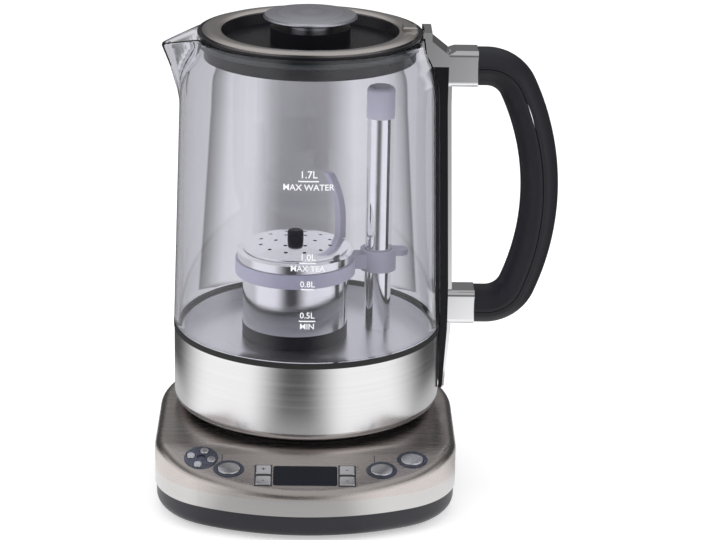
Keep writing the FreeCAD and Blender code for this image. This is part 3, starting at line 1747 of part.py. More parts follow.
curve_across = S.grip_reach - S.grip_curve
high_across = S.grip_bend_high - curve_across
high_up = S.grip_high - S.grip_middle
high_bend = (
    (S.grip_curve * S.grip_curve - high_across * high_across - high_up * high_up)
    / (2.0 * (S.grip_curve - high_up))
)
low_across = S.grip_bend_low - curve_across
low_up = S.grip_middle - S.grip_low
low_bend = (
    (S.grip_curve * S.grip_curve - low_across * low_across - low_up * low_up)
    / (2.0 * (S.grip_curve - low_up))
)
high_share = S.grip_curve / (S.grip_curve - high_bend)
low_share = S.grip_curve / (S.grip_curve - low_bend)
grip_path = [
    (S.upper_bracket_end, S.grip_high),
    (S.grip_bend_high, S.grip_high),
    (
        curve_across + high_share * high_across,
        S.grip_middle + high_share * (high_up - high_bend),
        -high_bend,
    ),
    (
        curve_across + low_share * low_across,
        S.grip_middle - low_share * (low_up - low_bend),
        -S.grip_curve,
    ),
    (S.grip_bend_low, S.grip_low, -low_bend),
    (S.lower_bracket_end, S.grip_low),
]


def grip(label, near, far):
    """Half of the grip: a rounded section between two distances outside its path, carried along the path."""
    body = new_body(label)
    spine = new_sketch(body, "XZ_Plane")
    draw_path(spine, grip_path, closed=False)
    section = new_sketch(body, "YZ_Plane", lift=S.upper_bracket_end)
    crown = far - near
    bulge = (crown if crown.value > 0 else -crown) - S.grip_side
    arc = (S.grip_half_width * S.grip_half_width + bulge * bulge) / (2.0 * bulge)
    side = S.grip_side if crown.value > 0 else -S.grip_side
    turn = 1.0 if crown.value > 0 else -1.0
    middle = S.grip_high + far
    draw_path(section, [
        (-S.grip_half_width, S.grip_high + near),
        (S.grip_half_width, S.grip_high + near),
        (S.grip_half_width, S.grip_high + near + side),
        (0, middle, arc * turn),
        (-S.grip_half_width, S.grip_high + near + side, arc * turn),
    ])
    sweep = body.newObject("PartDesign::AdditivePipe", label + "_sweep")
    sweep.Profile = section
    sweep.Spine = (spine, ["Edge%d" % (number + 1) for number in range(len(grip_path) - 1)])
    finish_feature(body, sweep, "sweep")
    return body


def drill_grip(body, across, height):
    """A blind screw hole into one end of a grip half, along X."""
    hole = new_sketch(body, "YZ_Plane", lift=across)
    draw_circle(hole, 0, height, S.screw_radius + S.fixed_gap / 2.0)
    pocket(body, hole, as_size(8.0), reverse=True)


outer_grip = grip("grip_outer", as_size(1.5), 1.5 + S.grip_outer_depth)
drill_grip(outer_grip, S.upper_bracket_end, high_screws[0])
drill_grip(outer_grip, S.lower_bracket_end, low_screws[0])
keep(outer_grip)
inner_grip = grip("grip_inner", 1.5 - S.grip_seam, 1.5 - S.grip_inner_depth)
drill_grip(inner_grip, S.upper_bracket_end, high_screws[1])
drill_grip(inner_grip, S.lower_bracket_end, low_screws[1])
keep(inner_grip)

screws = []
screw_places = [
    (S.spine_high_reach, height, S.upper_bracket_end) for height in high_screws
] + [
    (S.spine_low_reach, height, S.lower_bracket_end) for height in low_screws
]
for number, (across, height, end) in enumerate(screw_places):
    item = screw("handle_screw_%d" % (number + 1), end - across + S.handle_screw_bite - S.screw_head_height)
    item.Placement = Placement(Vector(0, 0, 0), Rotation(Vector(0, 1, 0), 90))
    screws.append(put(item, across + S.fixed_gap, 0, height))
keep(group("handle_screws", screws))


# Export

doc.recompute()
for item in doc.Objects:
    if "Invalid" in item.State or "Error" in item.State:
        raise ValueError("%s does not build: %s" % (item.Label, item.State))
for label, item in pieces.items():
    shape = item.Shape
    if shape.isNull() or not shape.isValid() or not shape.Solids:
        raise ValueError("%s has no sound solid" % label)
os.makedirs("parts", exist_ok=True)
for label, item in pieces.items():
    item.Shape.exportStep("parts/%s.step" % label)
    print("%-20s solids %2d volume %10.1f" % (label, len(item.Shape.Solids), item.Shape.Volume))
print(len(pieces), "pieces")
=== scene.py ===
"""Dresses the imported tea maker: its finishes, printed marks, display, studio and camera."""

from __future__ import annotations

import json
import logging
import math
from collections.abc import Callable, Iterable
from dataclasses import dataclass, field
from enum import Enum

import bpy
from mathutils import Euler, Matrix, Vector

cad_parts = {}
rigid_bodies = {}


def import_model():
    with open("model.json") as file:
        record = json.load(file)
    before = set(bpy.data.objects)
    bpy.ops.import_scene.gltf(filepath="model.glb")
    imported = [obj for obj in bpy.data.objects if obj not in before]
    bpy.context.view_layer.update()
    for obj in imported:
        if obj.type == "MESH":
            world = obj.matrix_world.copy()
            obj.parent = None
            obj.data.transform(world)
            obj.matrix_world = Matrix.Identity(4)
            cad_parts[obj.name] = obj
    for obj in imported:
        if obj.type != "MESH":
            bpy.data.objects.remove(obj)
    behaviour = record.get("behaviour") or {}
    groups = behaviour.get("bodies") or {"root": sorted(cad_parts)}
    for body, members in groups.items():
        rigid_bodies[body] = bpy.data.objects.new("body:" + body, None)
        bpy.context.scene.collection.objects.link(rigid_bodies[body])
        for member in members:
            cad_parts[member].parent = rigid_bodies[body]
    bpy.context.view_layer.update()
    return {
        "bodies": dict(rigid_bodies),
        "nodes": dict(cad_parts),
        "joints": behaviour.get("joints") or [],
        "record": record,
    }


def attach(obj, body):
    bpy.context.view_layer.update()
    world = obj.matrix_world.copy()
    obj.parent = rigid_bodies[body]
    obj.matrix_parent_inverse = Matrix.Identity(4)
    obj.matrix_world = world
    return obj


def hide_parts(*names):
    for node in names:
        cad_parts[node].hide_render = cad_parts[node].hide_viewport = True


log = logging.getLogger("tea_maker")

DECK_SLOPE = math.radians(17.6)
CREASE = Vector((0.0, -0.075, 0.040))

# How closely the drawn lines of brushed steel lie, in lines to the metre.
LINE_RUN = 9.0
LEVEL_LINES = 1500.0
ACROSS_LINES = 1300.0
RING_LINES = 1100.0

# The room that the metal mirrors, by the turn from straight in front, to the right.
GAP_MIDDLE = math.radians(-7.7)
GAP_DARK_HALF = math.radians(5.0)
GAP_HALF = math.radians(37.0)
GAP_LEVEL = 0.08
FLANKS_MIDDLE = math.radians(-9.0)
FLANKS_HALF = math.radians(71.0)
BACK_HALF = math.radians(120.0)
BACK_LEVEL = 0.08


class Brushing(Enum):
    """Which way the fine lines of a brushed surface run."""

    LEVEL = "level"
    ACROSS = "across"
    ROUND = "round"


class Carrier(Enum):
    """The moving bodies that new pieces ride on."""

    BASE = "base"
    JUG = "jug"
    LID = "lid"
    BASKET = "basket"
    BASKET_LID = "basket_lid"


class NodeBoard:
    """Places and joins nodes in one node tree."""

    def __init__(self, tree: bpy.types.NodeTree) -> None:
        """Starts an empty tree.

        Args:
            tree: The tree to fill.
        """
        self.tree = tree
        self.column = 0
        tree.nodes.clear()

    def add(self, kind: str, **values: object) -> bpy.types.Node:
        """Adds a node and sets its properties and inputs.

        Args:
            kind: The node's type name.
            **values: Properties by name, or inputs by name with spaces as underscores.

        Returns:
            The new node.
        """
        node = self.tree.nodes.new(kind)
        node.location = (self.column * 190.0, -(self.column % 4) * 120.0)
        self.column += 1
        for name, value in values.items():
            if hasattr(node, name):
                setattr(node, name, value)
            else:
                node.inputs[name.replace("_", " ")].default_value = value
        return node

    def join(self, source: bpy.types.NodeSocket, target: bpy.types.NodeSocket) -> None:
        """Links one socket to another."""
        self.tree.links.new(source, target)

    def chain(self, kind: str, source: bpy.types.NodeSocket, **values: object) -> bpy.types.Node:
        """Adds a node that takes a socket as its first input.

        Args:
            kind: The node's type name.
            source: The socket that feeds it.
            **values: As for add.

        Returns:
            The new node.
        """
        node = self.add(kind, **values)
        self.join(source, node.inputs[0])
        return node

    def sum(self, kind: str, source: bpy.types.NodeSocket, second: float) -> bpy.types.NodeSocket:
        """Works out a socket and a number by one operation.

        Args:
            kind: The operation's name.
            source: The socket that comes first.
            second: The number that comes second.

        Returns:
            The socket of the result.
        """
        node = self.chain("ShaderNodeMath", source, operation=kind)
        node.inputs[1].default_value = second
        return node.outputs[0]

    def joint_sum(
        self, kind: str, first: bpy.types.NodeSocket, second: bpy.types.NodeSocket, clamped: bool = False
    ) -> bpy.types.NodeSocket:
        """Works out two sockets by one operation.

        Args:
            kind: The operation's name.
            first: The socket that comes first.
            second: The socket that comes second.
            clamped: Whether the result is kept between 0 and 1.

        Returns:
            The socket of the result.
        """
        node = self.chain("ShaderNodeMath", first, operation=kind, use_clamp=clamped)
        self.join(second, node.inputs[1])
        return node.outputs[0]

    def ramp(
        self,
        source: bpy.types.NodeSocket,
        low: float,
        high: float,
        levels: tuple[float, float] = (0.0, 1.0),
        curve: str = "SMOOTHSTEP",
    ) -> bpy.types.NodeSocket:
        """Turns the run of a socket between two values into a run between two levels.

        Args:
            source: The socket to turn.
            low: The value where the run starts.
            high: The value where it ends.
            levels: The level before the run and the level after it.
            curve: How it goes from one to the other.

        Returns:
            The socket of the level.
        """
        node = self.chain("ShaderNodeMapRange", source, interpolation_type=curve)
        node.inputs["From Min"].default_value = low
        node.inputs["From Max"].default_value = high
        node.inputs["To Min"].default_value = levels[0]
        node.inputs["To Max"].default_value = levels[1]
        return node.outputs[0]

    def blend(
        self, share: bpy.types.NodeSocket, first: bpy.types.NodeSocket, second: bpy.types.NodeSocket
    ) -> bpy.types.NodeSocket:
        """Mixes two shaders by a share of the second.

        Args:
            share: The socket of the share.
            first: The first shader's socket.
            second: The second shader's socket.

        Returns:
            The socket of the mixed shader.
        """
        node = self.add("ShaderNodeMixShader")
        self.join(share, node.inputs["Fac"])
        self.join(first, node.inputs[1])
        self.join(second, node.inputs[2])
        return node.outputs[0]


def make_group(
    name: str, inputs: dict[str, tuple[str, object]], outputs: dict[str, str]
) -> tuple[bpy.types.ShaderNodeTree, NodeBoard, bpy.types.Node, bpy.types.Node] | bpy.types.ShaderNodeTree:
    """Starts a shader group, or gives back the one already made.

    Args:
        name: The group's name.
        inputs: Socket kind and starting value by input name.
        outputs: Socket kind by output name.

    Returns:
        The finished group if there is one, otherwise the new group, its board and its two end nodes.
    """
    found = bpy.data.node_groups.get(name)
    if found is not None:
        return found
    group = bpy.data.node_groups.new(name, "ShaderNodeTree")
    for label, (kind, value) in inputs.items():
        socket = group.interface.new_socket(name=label, in_out="INPUT", socket_type=kind)
        if value is not None:
            socket.default_value = value
    for label, kind in outputs.items():
        group.interface.new_socket(name=label, in_out="OUTPUT", socket_type=kind)
    board = NodeBoard(group)
    return group, board, board.add("NodeGroupInput"), board.add("NodeGroupOutput")


def streak_group() -> bpy.types.ShaderNodeTree:
    """Fine drawn lines with a few deeper scratches, for brushed metal.

    Returns:
        The shader group, with Height, Roughness and Tone outputs.
    """
    made = make_group(
        "drawn_streaks",
        {
            "Vector": ("NodeSocketVector", None),
            "Roughness": ("NodeSocketFloat", 0.3),
            "Spread": ("NodeSocketFloat", 0.1),
            "Contrast": ("NodeSocketFloat", 0.1),
        },
        {"Height": "NodeSocketFloat", "Roughness": "NodeSocketFloat", "Tone": "NodeSocketFloat"},
    )
    if not isinstance(made, tuple):
        return made
    group, board, start, end = made
    fine = board.add("ShaderNodeTexNoise", Scale=1.0, Detail=4.0, Roughness=0.7)
    broad = board.add("ShaderNodeTexNoise", Scale=0.23, Detail=2.0, Roughness=0.5)
    board.join(start.outputs["Vector"], fine.inputs["Vector"])
    board.join(start.outputs["Vector"], broad.inputs["Vector"])
    both = board.joint_sum("ADD", fine.outputs["Fac"], broad.outputs["Fac"])
    centred = board.sum("SUBTRACT", both, 1.0)
    board.join(both, end.inputs["Height"])
    spread = board.joint_sum("MULTIPLY", centred, start.outputs["Spread"])
    board.join(board.joint_sum("ADD", spread, start.outputs["Roughness"], True), end.inputs["Roughness"])
    contrast = board.joint_sum("MULTIPLY", centred, start.outputs["Contrast"])
    board.join(board.sum("ADD", contrast, 1.0), end.inputs["Tone"])
    return group


def grain_group() -> bpy.types.ShaderNodeTree:
    """The fine pebble grain and slow sheen changes of moulded plastic and rubber.

    Returns:
        The shader group, with Height, Roughness and Tone outputs.
    """
    made = make_group(
        "moulded_grain",
        {
            "Vector": ("NodeSocketVector", None),
            "Scale": ("NodeSocketFloat", 1600.0),
            "Roughness": ("NodeSocketFloat", 0.4),
            "Spread": ("NodeSocketFloat", 0.06),
        },
        {"Height": "NodeSocketFloat", "Roughness": "NodeSocketFloat", "Tone": "NodeSocketFloat"},
    )
    if not isinstance(made, tuple):
        return made
    group, board, start, end = made
    pebble = board.add("ShaderNodeTexVoronoi", feature="SMOOTH_F1")
    board.join(start.outputs["Vector"], pebble.inputs["Vector"])
    board.join(start.outputs["Scale"], pebble.inputs["Scale"])
    board.join(pebble.outputs["Distance"], end.inputs["Height"])
    sheen = board.add("ShaderNodeTexNoise", Scale=18.0, Detail=3.0)
    board.join(start.outputs["Vector"], sheen.inputs["Vector"])
    centred = board.sum("SUBTRACT", sheen.outputs["Fac"], 0.5)
    spread = board.joint_sum("MULTIPLY", centred, start.outputs["Spread"])
    board.join(board.joint_sum("ADD", spread, start.outputs["Roughness"], True), end.inputs["Roughness"])
    tone = board.chain("ShaderNodeMath", centred, operation="MULTIPLY_ADD")
    tone.inputs[1].default_value = 0.25
    tone.inputs[2].default_value = 1.0
    board.join(tone.outputs[0], end.inputs["Tone"])
    return group


def smudge_group() -> bpy.types.ShaderNodeTree:
    """Faint wiping marks that vary how sharply a polished or glass surface reflects.

    Returns:
        The shader group, with one Roughness output.
    """
    made = make_group(
        "wiping_marks",
        {
            "Vector": ("NodeSocketVector", None),
            "Roughness": ("NodeSocketFloat", 0.05),
            "Spread": ("NodeSocketFloat", 0.05),
        },
        {"Roughness": "NodeSocketFloat"},
    )
    if not isinstance(made, tuple):
        return made
    group, board, start, end = made
    marks = board.add("ShaderNodeTexNoise", Scale=26.0, Detail=5.0, Roughness=0.65, Distortion=0.6)
    board.join(start.outputs["Vector"], marks.inputs["Vector"])
    wiped = board.ramp(marks.outputs["Fac"], 0.5, 0.8, curve="LINEAR")
    spread = board.joint_sum("MULTIPLY", wiped, start.outputs["Spread"])
    board.join(board.joint_sum("ADD", spread, start.outputs["Roughness"], True), end.inputs["Roughness"])
    return group


def ring_coordinates_group() -> bpy.types.ShaderNodeTree:
    """Turns a place into its distance from the jug's axis and its height, for lines that run in rings.

    Returns:
        The shader group, with one Vector output.
    """
    made = make_group(
        "ring_coordinates",
        {"Vector": ("NodeSocketVector", None), "Scale": ("NodeSocketFloat", 900.0)},
        {"Vector": "NodeSocketVector"},
    )
    if not isinstance(made, tuple):
        return made
    group, board, start, end = made
    parts = board.chain("ShaderNodeSeparateXYZ", start.outputs["Vector"])
    flat = board.add("ShaderNodeCombineXYZ")
    board.join(parts.outputs["X"], flat.inputs["X"])
    board.join(parts.outputs["Y"], flat.inputs["Y"])
    reach = board.chain("ShaderNodeVectorMath", flat.outputs[0], operation="LENGTH")
    ring = board.add("ShaderNodeCombineXYZ")
    board.join(reach.outputs["Value"], ring.inputs["X"])
    board.join(parts.outputs["Z"], ring.inputs["Y"])
    scaled = board.chain("ShaderNodeVectorMath", ring.outputs[0], operation="SCALE")
    board.join(start.outputs["Scale"], scaled.inputs["Scale"])
    board.join(scaled.outputs[0], end.inputs["Vector"])
    return group


def room_group() -> bpy.types.ShaderNodeTree:
    """How bright the room's sides are by direction: a dark gap in front, bright flanks and a dim back.

    Returns:
        The shader group, with the Level all round and the Front that has the gap alone.
    """
    made = make_group(
        "room_sides",
        {"Vector": ("NodeSocketVector", None)},
        {"Level": "NodeSocketFloat", "Front": "NodeSocketFloat"},
    )
    if not isinstance(made, tuple):
        return made
    group, board, start, end = made
    parts = board.chain("ShaderNodeSeparateXYZ", start.outputs["Vector"])
    ahead = board.sum("MULTIPLY", parts.outputs["Y"], -1.0)
    turn = board.joint_sum("ARCTAN2", parts.outputs["X"], ahead)
    off_gap = board.chain("ShaderNodeMath", board.sum("ADD", turn, -GAP_MIDDLE), operation="ABSOLUTE")
    gap = board.ramp(off_gap.outputs[0], GAP_DARK_HALF, GAP_HALF, (GAP_LEVEL, 1.0))
    off_flanks = board.chain("ShaderNodeMath", board.sum("ADD", turn, -FLANKS_MIDDLE), operation="ABSOLUTE")
    back = board.ramp(off_flanks.outputs[0], FLANKS_HALF, BACK_HALF, (1.0, BACK_LEVEL))
    board.join(board.joint_sum("MINIMUM", gap, back), end.inputs["Level"])
    board.join(gap, end.inputs["Front"])
    return group


def shade_ramp(
    board: NodeBoard, source: bpy.types.NodeSocket, levels: Iterable[tuple[float, float]]
) -> bpy.types.NodeSocket:
    """Turns a share into a shade through a few levels.

    Args:
        board: The board to work on.
        source: The socket that gives the share.
        levels: Each level with the share it stands at, in rising order.

    Returns:
        The socket of the shade.
    """
    ramp = board.chain("ShaderNodeValToRGB", source)
    stops = ramp.color_ramp.elements
    while len(stops) > 1:
        stops.remove(stops[-1])
    for number, (spot, level) in enumerate(levels):
        stop = stops[0] if number == 0 else stops.new(spot)
        stop.position = spot
        stop.color = (level, level, level, 1.0)
    return ramp.outputs["Color"]


def use_group(board: NodeBoard, group: bpy.types.ShaderNodeTree, **values: float) -> bpy.types.Node:
    """Places a shader group in a material.

    Args:
        board: The material's board.
        group: The group to place.
        **values: The group's own input values.

    Returns:
        The group node.
    """
    node = board.add("ShaderNodeGroup", node_tree=group)
    for name, value in values.items():
        node.inputs[name].default_value = value
    return node


def toned(
    board: NodeBoard, tone: bpy.types.NodeSocket, colour: tuple[float, float, float]
) -> bpy.types.NodeSocket:
    """Varies a colour by a tone that is 1 on average.

    Args:
        board: The material's board.
        tone: The socket that gives the tone.
        colour: The plain colour.

    Returns:
        The socket of the varied colour.
    """
    node = board.add("ShaderNodeVectorMath", operation="SCALE")
    node.inputs[0].default_value = colour
    board.join(tone, node.inputs["Scale"])
    return node.outputs[0]


@dataclass(frozen=True)
class BrushedSteel:
    """Stainless steel with drawn lines."""

    name: str
    colour: tuple[float, float, float]
    brushing: Brushing
    roughness: float = 0.3
    spread: float = 0.12
    contrast: float = 0.12
    depth: float = 0.00002

    def build(self) -> bpy.types.Material:
        """Makes the material."""
        material, board, shader, place = plain_material(self.name)
        shader.inputs["Metallic"].default_value = 1.0
        if self.brushing is Brushing.ROUND:
            mapped = use_group(board, ring_coordinates_group(), Scale=RING_LINES)
            board.join(place, mapped.inputs["Vector"])
            lines = mapped.outputs["Vector"]
        else:
            mapping = board.chain("ShaderNodeMapping", place)
            level = (LINE_RUN, LINE_RUN, LEVEL_LINES)
            across = (LINE_RUN, ACROSS_LINES, ACROSS_LINES)
            mapping.inputs["Scale"].default_value = level if self.brushing is Brushing.LEVEL else across
            lines = mapping.outputs[0]
        streaks = use_group(
            board, streak_group(), Roughness=self.roughness, Spread=self.spread, Contrast=self.contrast
        )
        board.join(lines, streaks.inputs["Vector"])
        board.join(toned(board, streaks.outputs["Tone"], self.colour), shader.inputs["Base Color"])
        board.join(streaks.outputs["Roughness"], shader.inputs["Roughness"])
        add_bump(board, streaks.outputs["Height"], shader, self.depth)
        return material


@dataclass(frozen=True)
class PolishedMetal:
    """Bright plated or polished metal with faint wiping marks."""

    name: str
    colour: tuple[float, float, float]
    roughness: float = 0.06
    spread: float = 0.08

    def build(self) -> bpy.types.Material:
        """Makes the material."""
        material, board, shader, place = plain_material(self.name)
        shader.inputs["Metallic"].default_value = 1.0
        shader.inputs["Base Color"].default_value = (*self.colour, 1.0)
        marks = use_group(board, smudge_group(), Roughness=self.roughness, Spread=self.spread)
        board.join(place, marks.inputs["Vector"])
        board.join(marks.outputs["Roughness"], shader.inputs["Roughness"])
        return material


@dataclass(frozen=True)
class Moulding:
    """Moulded plastic, rubber or lacquered board with a fine grain."""

    name: str
    colour: tuple[float, float, float]
    roughness: float = 0.45
    spread: float = 0.12
    grain: float = 1800.0
    depth: float = 0.00003
    coat: float = 0.0
    specular: float = 0.5

    def build(self) -> bpy.types.Material:
        """Makes the material."""
        material, board, shader, place = plain_material(self.name)
        shader.inputs["Specular IOR Level"].default_value = self.specular
        shader.inputs["Coat Weight"].default_value = self.coat
        shader.inputs["Coat Roughness"].default_value = 0.08
        surface = use_group(
            board, grain_group(), Scale=self.grain, Roughness=self.roughness, Spread=self.spread
        )
        board.join(place, surface.inputs["Vector"])
        board.join(toned(board, surface.outputs["Tone"], self.colour), shader.inputs["Base Color"])
        board.join(surface.outputs["Roughness"], shader.inputs["Roughness"])
        add_bump(board, surface.outputs["Height"], shader, self.depth)
        return material


@dataclass(frozen=True)
class ClearGlass:
    """Clear glass with a faint cool tint, which lets soft light through to what it holds."""

    name: str
    colour: tuple[float, float, float]
    roughness: float = 0.0
    refraction: float = 1.47

    def build(self) -> bpy.types.Material:
        """Makes the material."""
        material, board, shader, _place = plain_material(self.name)
        shader.inputs["Base Color"].default_value = (*self.colour, 1.0)
        shader.inputs["Roughness"].default_value = self.roughness
        shader.inputs["IOR"].default_value = self.refraction
        shader.inputs["Transmission Weight"].default_value = 1.0
        see_through = board.add("ShaderNodeBsdfTransparent")
        see_through.inputs["Color"].default_value = (*self.colour, 1.0)
        light = board.add("ShaderNodeLightPath")
        soft = board.joint_sum("MAXIMUM", light.outputs["Is Shadow Ray"], light.outputs["Is Diffuse Ray"])
        mixed = board.blend(soft, shader.outputs[0], see_through.outputs[0])
        output = next(node for node in board.tree.nodes if node.type == "OUTPUT_MATERIAL")
        board.join(mixed, output.inputs["Surface"])
        return material


@dataclass(frozen=True)
class Enamel:
    """Printed or fired-on marking colour."""
    # Printed or fired-on marking colour, with an optional painted glow that makes it shine though it is no
    # lamp.

    name: str
    colour: tuple[float, float, float]
    roughness: float = 0.5
    painted_glow: float = 0.0

    def build(self) -> bpy.types.Material:
        """Makes the material."""
        material, board, shader, place = plain_material(self.name)
        patches = use_group(board, grain_group(), Scale=2400.0, Roughness=self.roughness, Spread=0.2)
        board.join(place, patches.inputs["Vector"])
        board.join(toned(board, patches.outputs["Tone"], self.colour), shader.inputs["Base Color"])
        board.join(patches.outputs["Roughness"], shader.inputs["Roughness"])
        # A painted glow: the marks give off light of their own colour though they are no lamp.
        if self.painted_glow > 0.0:
            shader.inputs["Emission Color"].default_value = (*self.colour, 1.0)
            shader.inputs["Emission Strength"].default_value = self.painted_glow
        return material


def plain_material(name: str) -> tuple[bpy.types.Material, NodeBoard, bpy.types.Node, bpy.types.NodeSocket]:
    """Starts a material with a shader, an output and object coordinates.

    Args:
        name: The material's name.

    Returns:
        The material, its board, its shader node and the socket of the object coordinates.
    """
    material = bpy.data.materials.new(name)
    material.use_nodes = True
    board = NodeBoard(material.node_tree)
    output = board.add("ShaderNodeOutputMaterial")
    shader = board.add("ShaderNodeBsdfPrincipled")
    board.join(shader.outputs[0], output.inputs["Surface"])
    place = board.add("ShaderNodeTexCoord")
    return material, board, shader, place.outputs["Object"]


def add_bump(board: NodeBoard, height: bpy.types.NodeSocket, shader: bpy.types.Node, depth: float) -> None:
    """Feeds a height into a shader's normal.

    Args:
        board: The material's board.
        height: The socket that gives the height.
        shader: The shader that takes the normal.
        depth: How deep the surface is, in metres.
    """
    bump = board.add("ShaderNodeBump", Strength=0.6, Distance=depth)
    board.join(height, bump.inputs["Height"])
    board.join(bump.outputs[0], shader.inputs["Normal"])


@dataclass
class Finishes:
    """Every finish of the tea maker, built once."""

    deck_steel: bpy.types.Material = field(init=False)
    trim_steel: bpy.types.Material = field(init=False)
    band_steel: bpy.types.Material = field(init=False)
    basket_steel: bpy.types.Material = field(init=False)
    ring_steel: bpy.types.Material = field(init=False)
    knob_steel: bpy.types.Material = field(init=False)
    floor_steel: bpy.types.Material = field(init=False)
    chrome: bpy.types.Material = field(init=False)
    key_chrome: bpy.types.Material = field(init=False)
    surround_smoke: bpy.types.Material = field(init=False)
    brass: bpy.types.Material = field(init=False)
    screw_steel: bpy.types.Material = field(init=False)
    heater_metal: bpy.types.Material = field(init=False)
    base_black: bpy.types.Material = field(init=False)
    inner_black: bpy.types.Material = field(init=False)
    gloss_black: bpy.types.Material = field(init=False)
    grip_black: bpy.types.Material = field(init=False)
    carriage_grey: bpy.types.Material = field(init=False)
    cap_grey: bpy.types.Material = field(init=False)
    basket_dark: bpy.types.Material = field(init=False)
    rubber: bpy.types.Material = field(init=False)
    silicone: bpy.types.Material = field(init=False)
    board_green: bpy.types.Material = field(init=False)
    display_glass: bpy.types.Material = field(init=False)
    jug_glass: bpy.types.Material = field(init=False)
    white_enamel_painted_glow: bpy.types.Material = field(init=False)
    dark_print: bpy.types.Material = field(init=False)

    def __post_init__(self) -> None:
        """Builds the materials."""
        self.deck_steel = BrushedSteel(
            "deck_brushed_steel", (0.66, 0.61, 0.585), Brushing.ACROSS, roughness=0.27, contrast=0.14
        ).build()
        self.trim_steel = BrushedSteel(
            "trim_satin_steel", (0.68, 0.665, 0.66), Brushing.LEVEL, roughness=0.26, contrast=0.06
        ).build()
        self.band_steel = BrushedSteel(
            "band_brushed_steel", (0.88, 0.87, 0.88), Brushing.LEVEL, roughness=0.22, contrast=0.10
        ).build()
        self.basket_steel = BrushedSteel(
            "basket_satin_steel",
            (0.94, 0.94, 0.95),
            Brushing.LEVEL,
            roughness=0.12,
            spread=0.06,
            contrast=0.05,
        ).build()
        self.ring_steel = BrushedSteel(
            "lid_ring_warm_steel", (0.82, 0.77, 0.74), Brushing.ROUND, roughness=0.22, contrast=0.06
        ).build()
        self.knob_steel = BrushedSteel(
            "knob_turned_steel", (0.85, 0.85, 0.95), Brushing.ROUND, roughness=0.28, contrast=0.08
        ).build()
        self.floor_steel = BrushedSteel(
            "floor_satin_steel", (0.74, 0.74, 0.76), Brushing.ROUND, roughness=0.3, contrast=0.08
        ).build()
        self.chrome = PolishedMetal("bright_chrome", (0.90, 0.90, 0.92)).build()
        self.key_chrome = PolishedMetal("key_chrome", (0.86, 0.86, 0.89), roughness=0.14).build()
        self.surround_smoke = PolishedMetal(
            "smoked_surround", (0.20, 0.22, 0.28), roughness=0.24
        ).build()
        self.brass = PolishedMetal("contact_brass", (0.80, 0.62, 0.30), roughness=0.2).build()
        self.screw_steel = PolishedMetal("screw_steel", (0.55, 0.56, 0.58), roughness=0.28).build()
        self.heater_metal = PolishedMetal("heater_aluminium", (0.66, 0.67, 0.68), roughness=0.45).build()
        self.base_black = Moulding(
            "base_black_plastic", (0.034, 0.033, 0.040), roughness=0.40, specular=0.4
        ).build()
        self.inner_black = Moulding("inner_black_plastic", (0.028, 0.028, 0.030), roughness=0.5).build()
        self.gloss_black = Moulding(
            "gloss_black_plastic", (0.010, 0.010, 0.013), roughness=0.28, depth=0.00001, specular=0.22
        ).build()
        self.grip_black = Moulding(
            "grip_soft_black", (0.014, 0.014, 0.019), roughness=0.44, grain=2400.0, specular=0.4
        ).build()
        self.carriage_grey = Moulding("carriage_grey_plastic", (0.50, 0.50, 0.57), roughness=0.45).build()
        self.cap_grey = Moulding("cap_grey_plastic", (0.74, 0.73, 0.80), roughness=0.5).build()
        self.basket_dark = Moulding(
            "basket_dark_plastic", (0.020, 0.020, 0.025), roughness=0.4, specular=0.14
        ).build()
        self.rubber = Moulding("black_rubber", (0.02, 0.02, 0.02), roughness=0.7, grain=1200.0).build()
        self.silicone = Moulding("seal_silicone", (0.035, 0.043, 0.040), roughness=0.34, depth=0.0).build()
        self.board_green = Moulding(
            "board_lacquer", (0.02, 0.16, 0.07), roughness=0.3, grain=500.0, coat=0.4
        ).build()
        self.display_glass = Moulding(
            "display_window", (0.006, 0.008, 0.013), roughness=0.12, spread=0.04, depth=0.0, specular=0.25
        ).build()
        self.jug_glass = ClearGlass("jug_glass", (0.90, 0.897, 0.945)).build()
        # White print with a painted glow that makes the marks shine on the glass.
        self.white_enamel_painted_glow = Enamel("white_enamel_painted_glow", (0.86, 0.86, 0.88), painted_glow=0.25).build()
        self.dark_print = Enamel("dark_print", (0.05, 0.05, 0.06)).build()


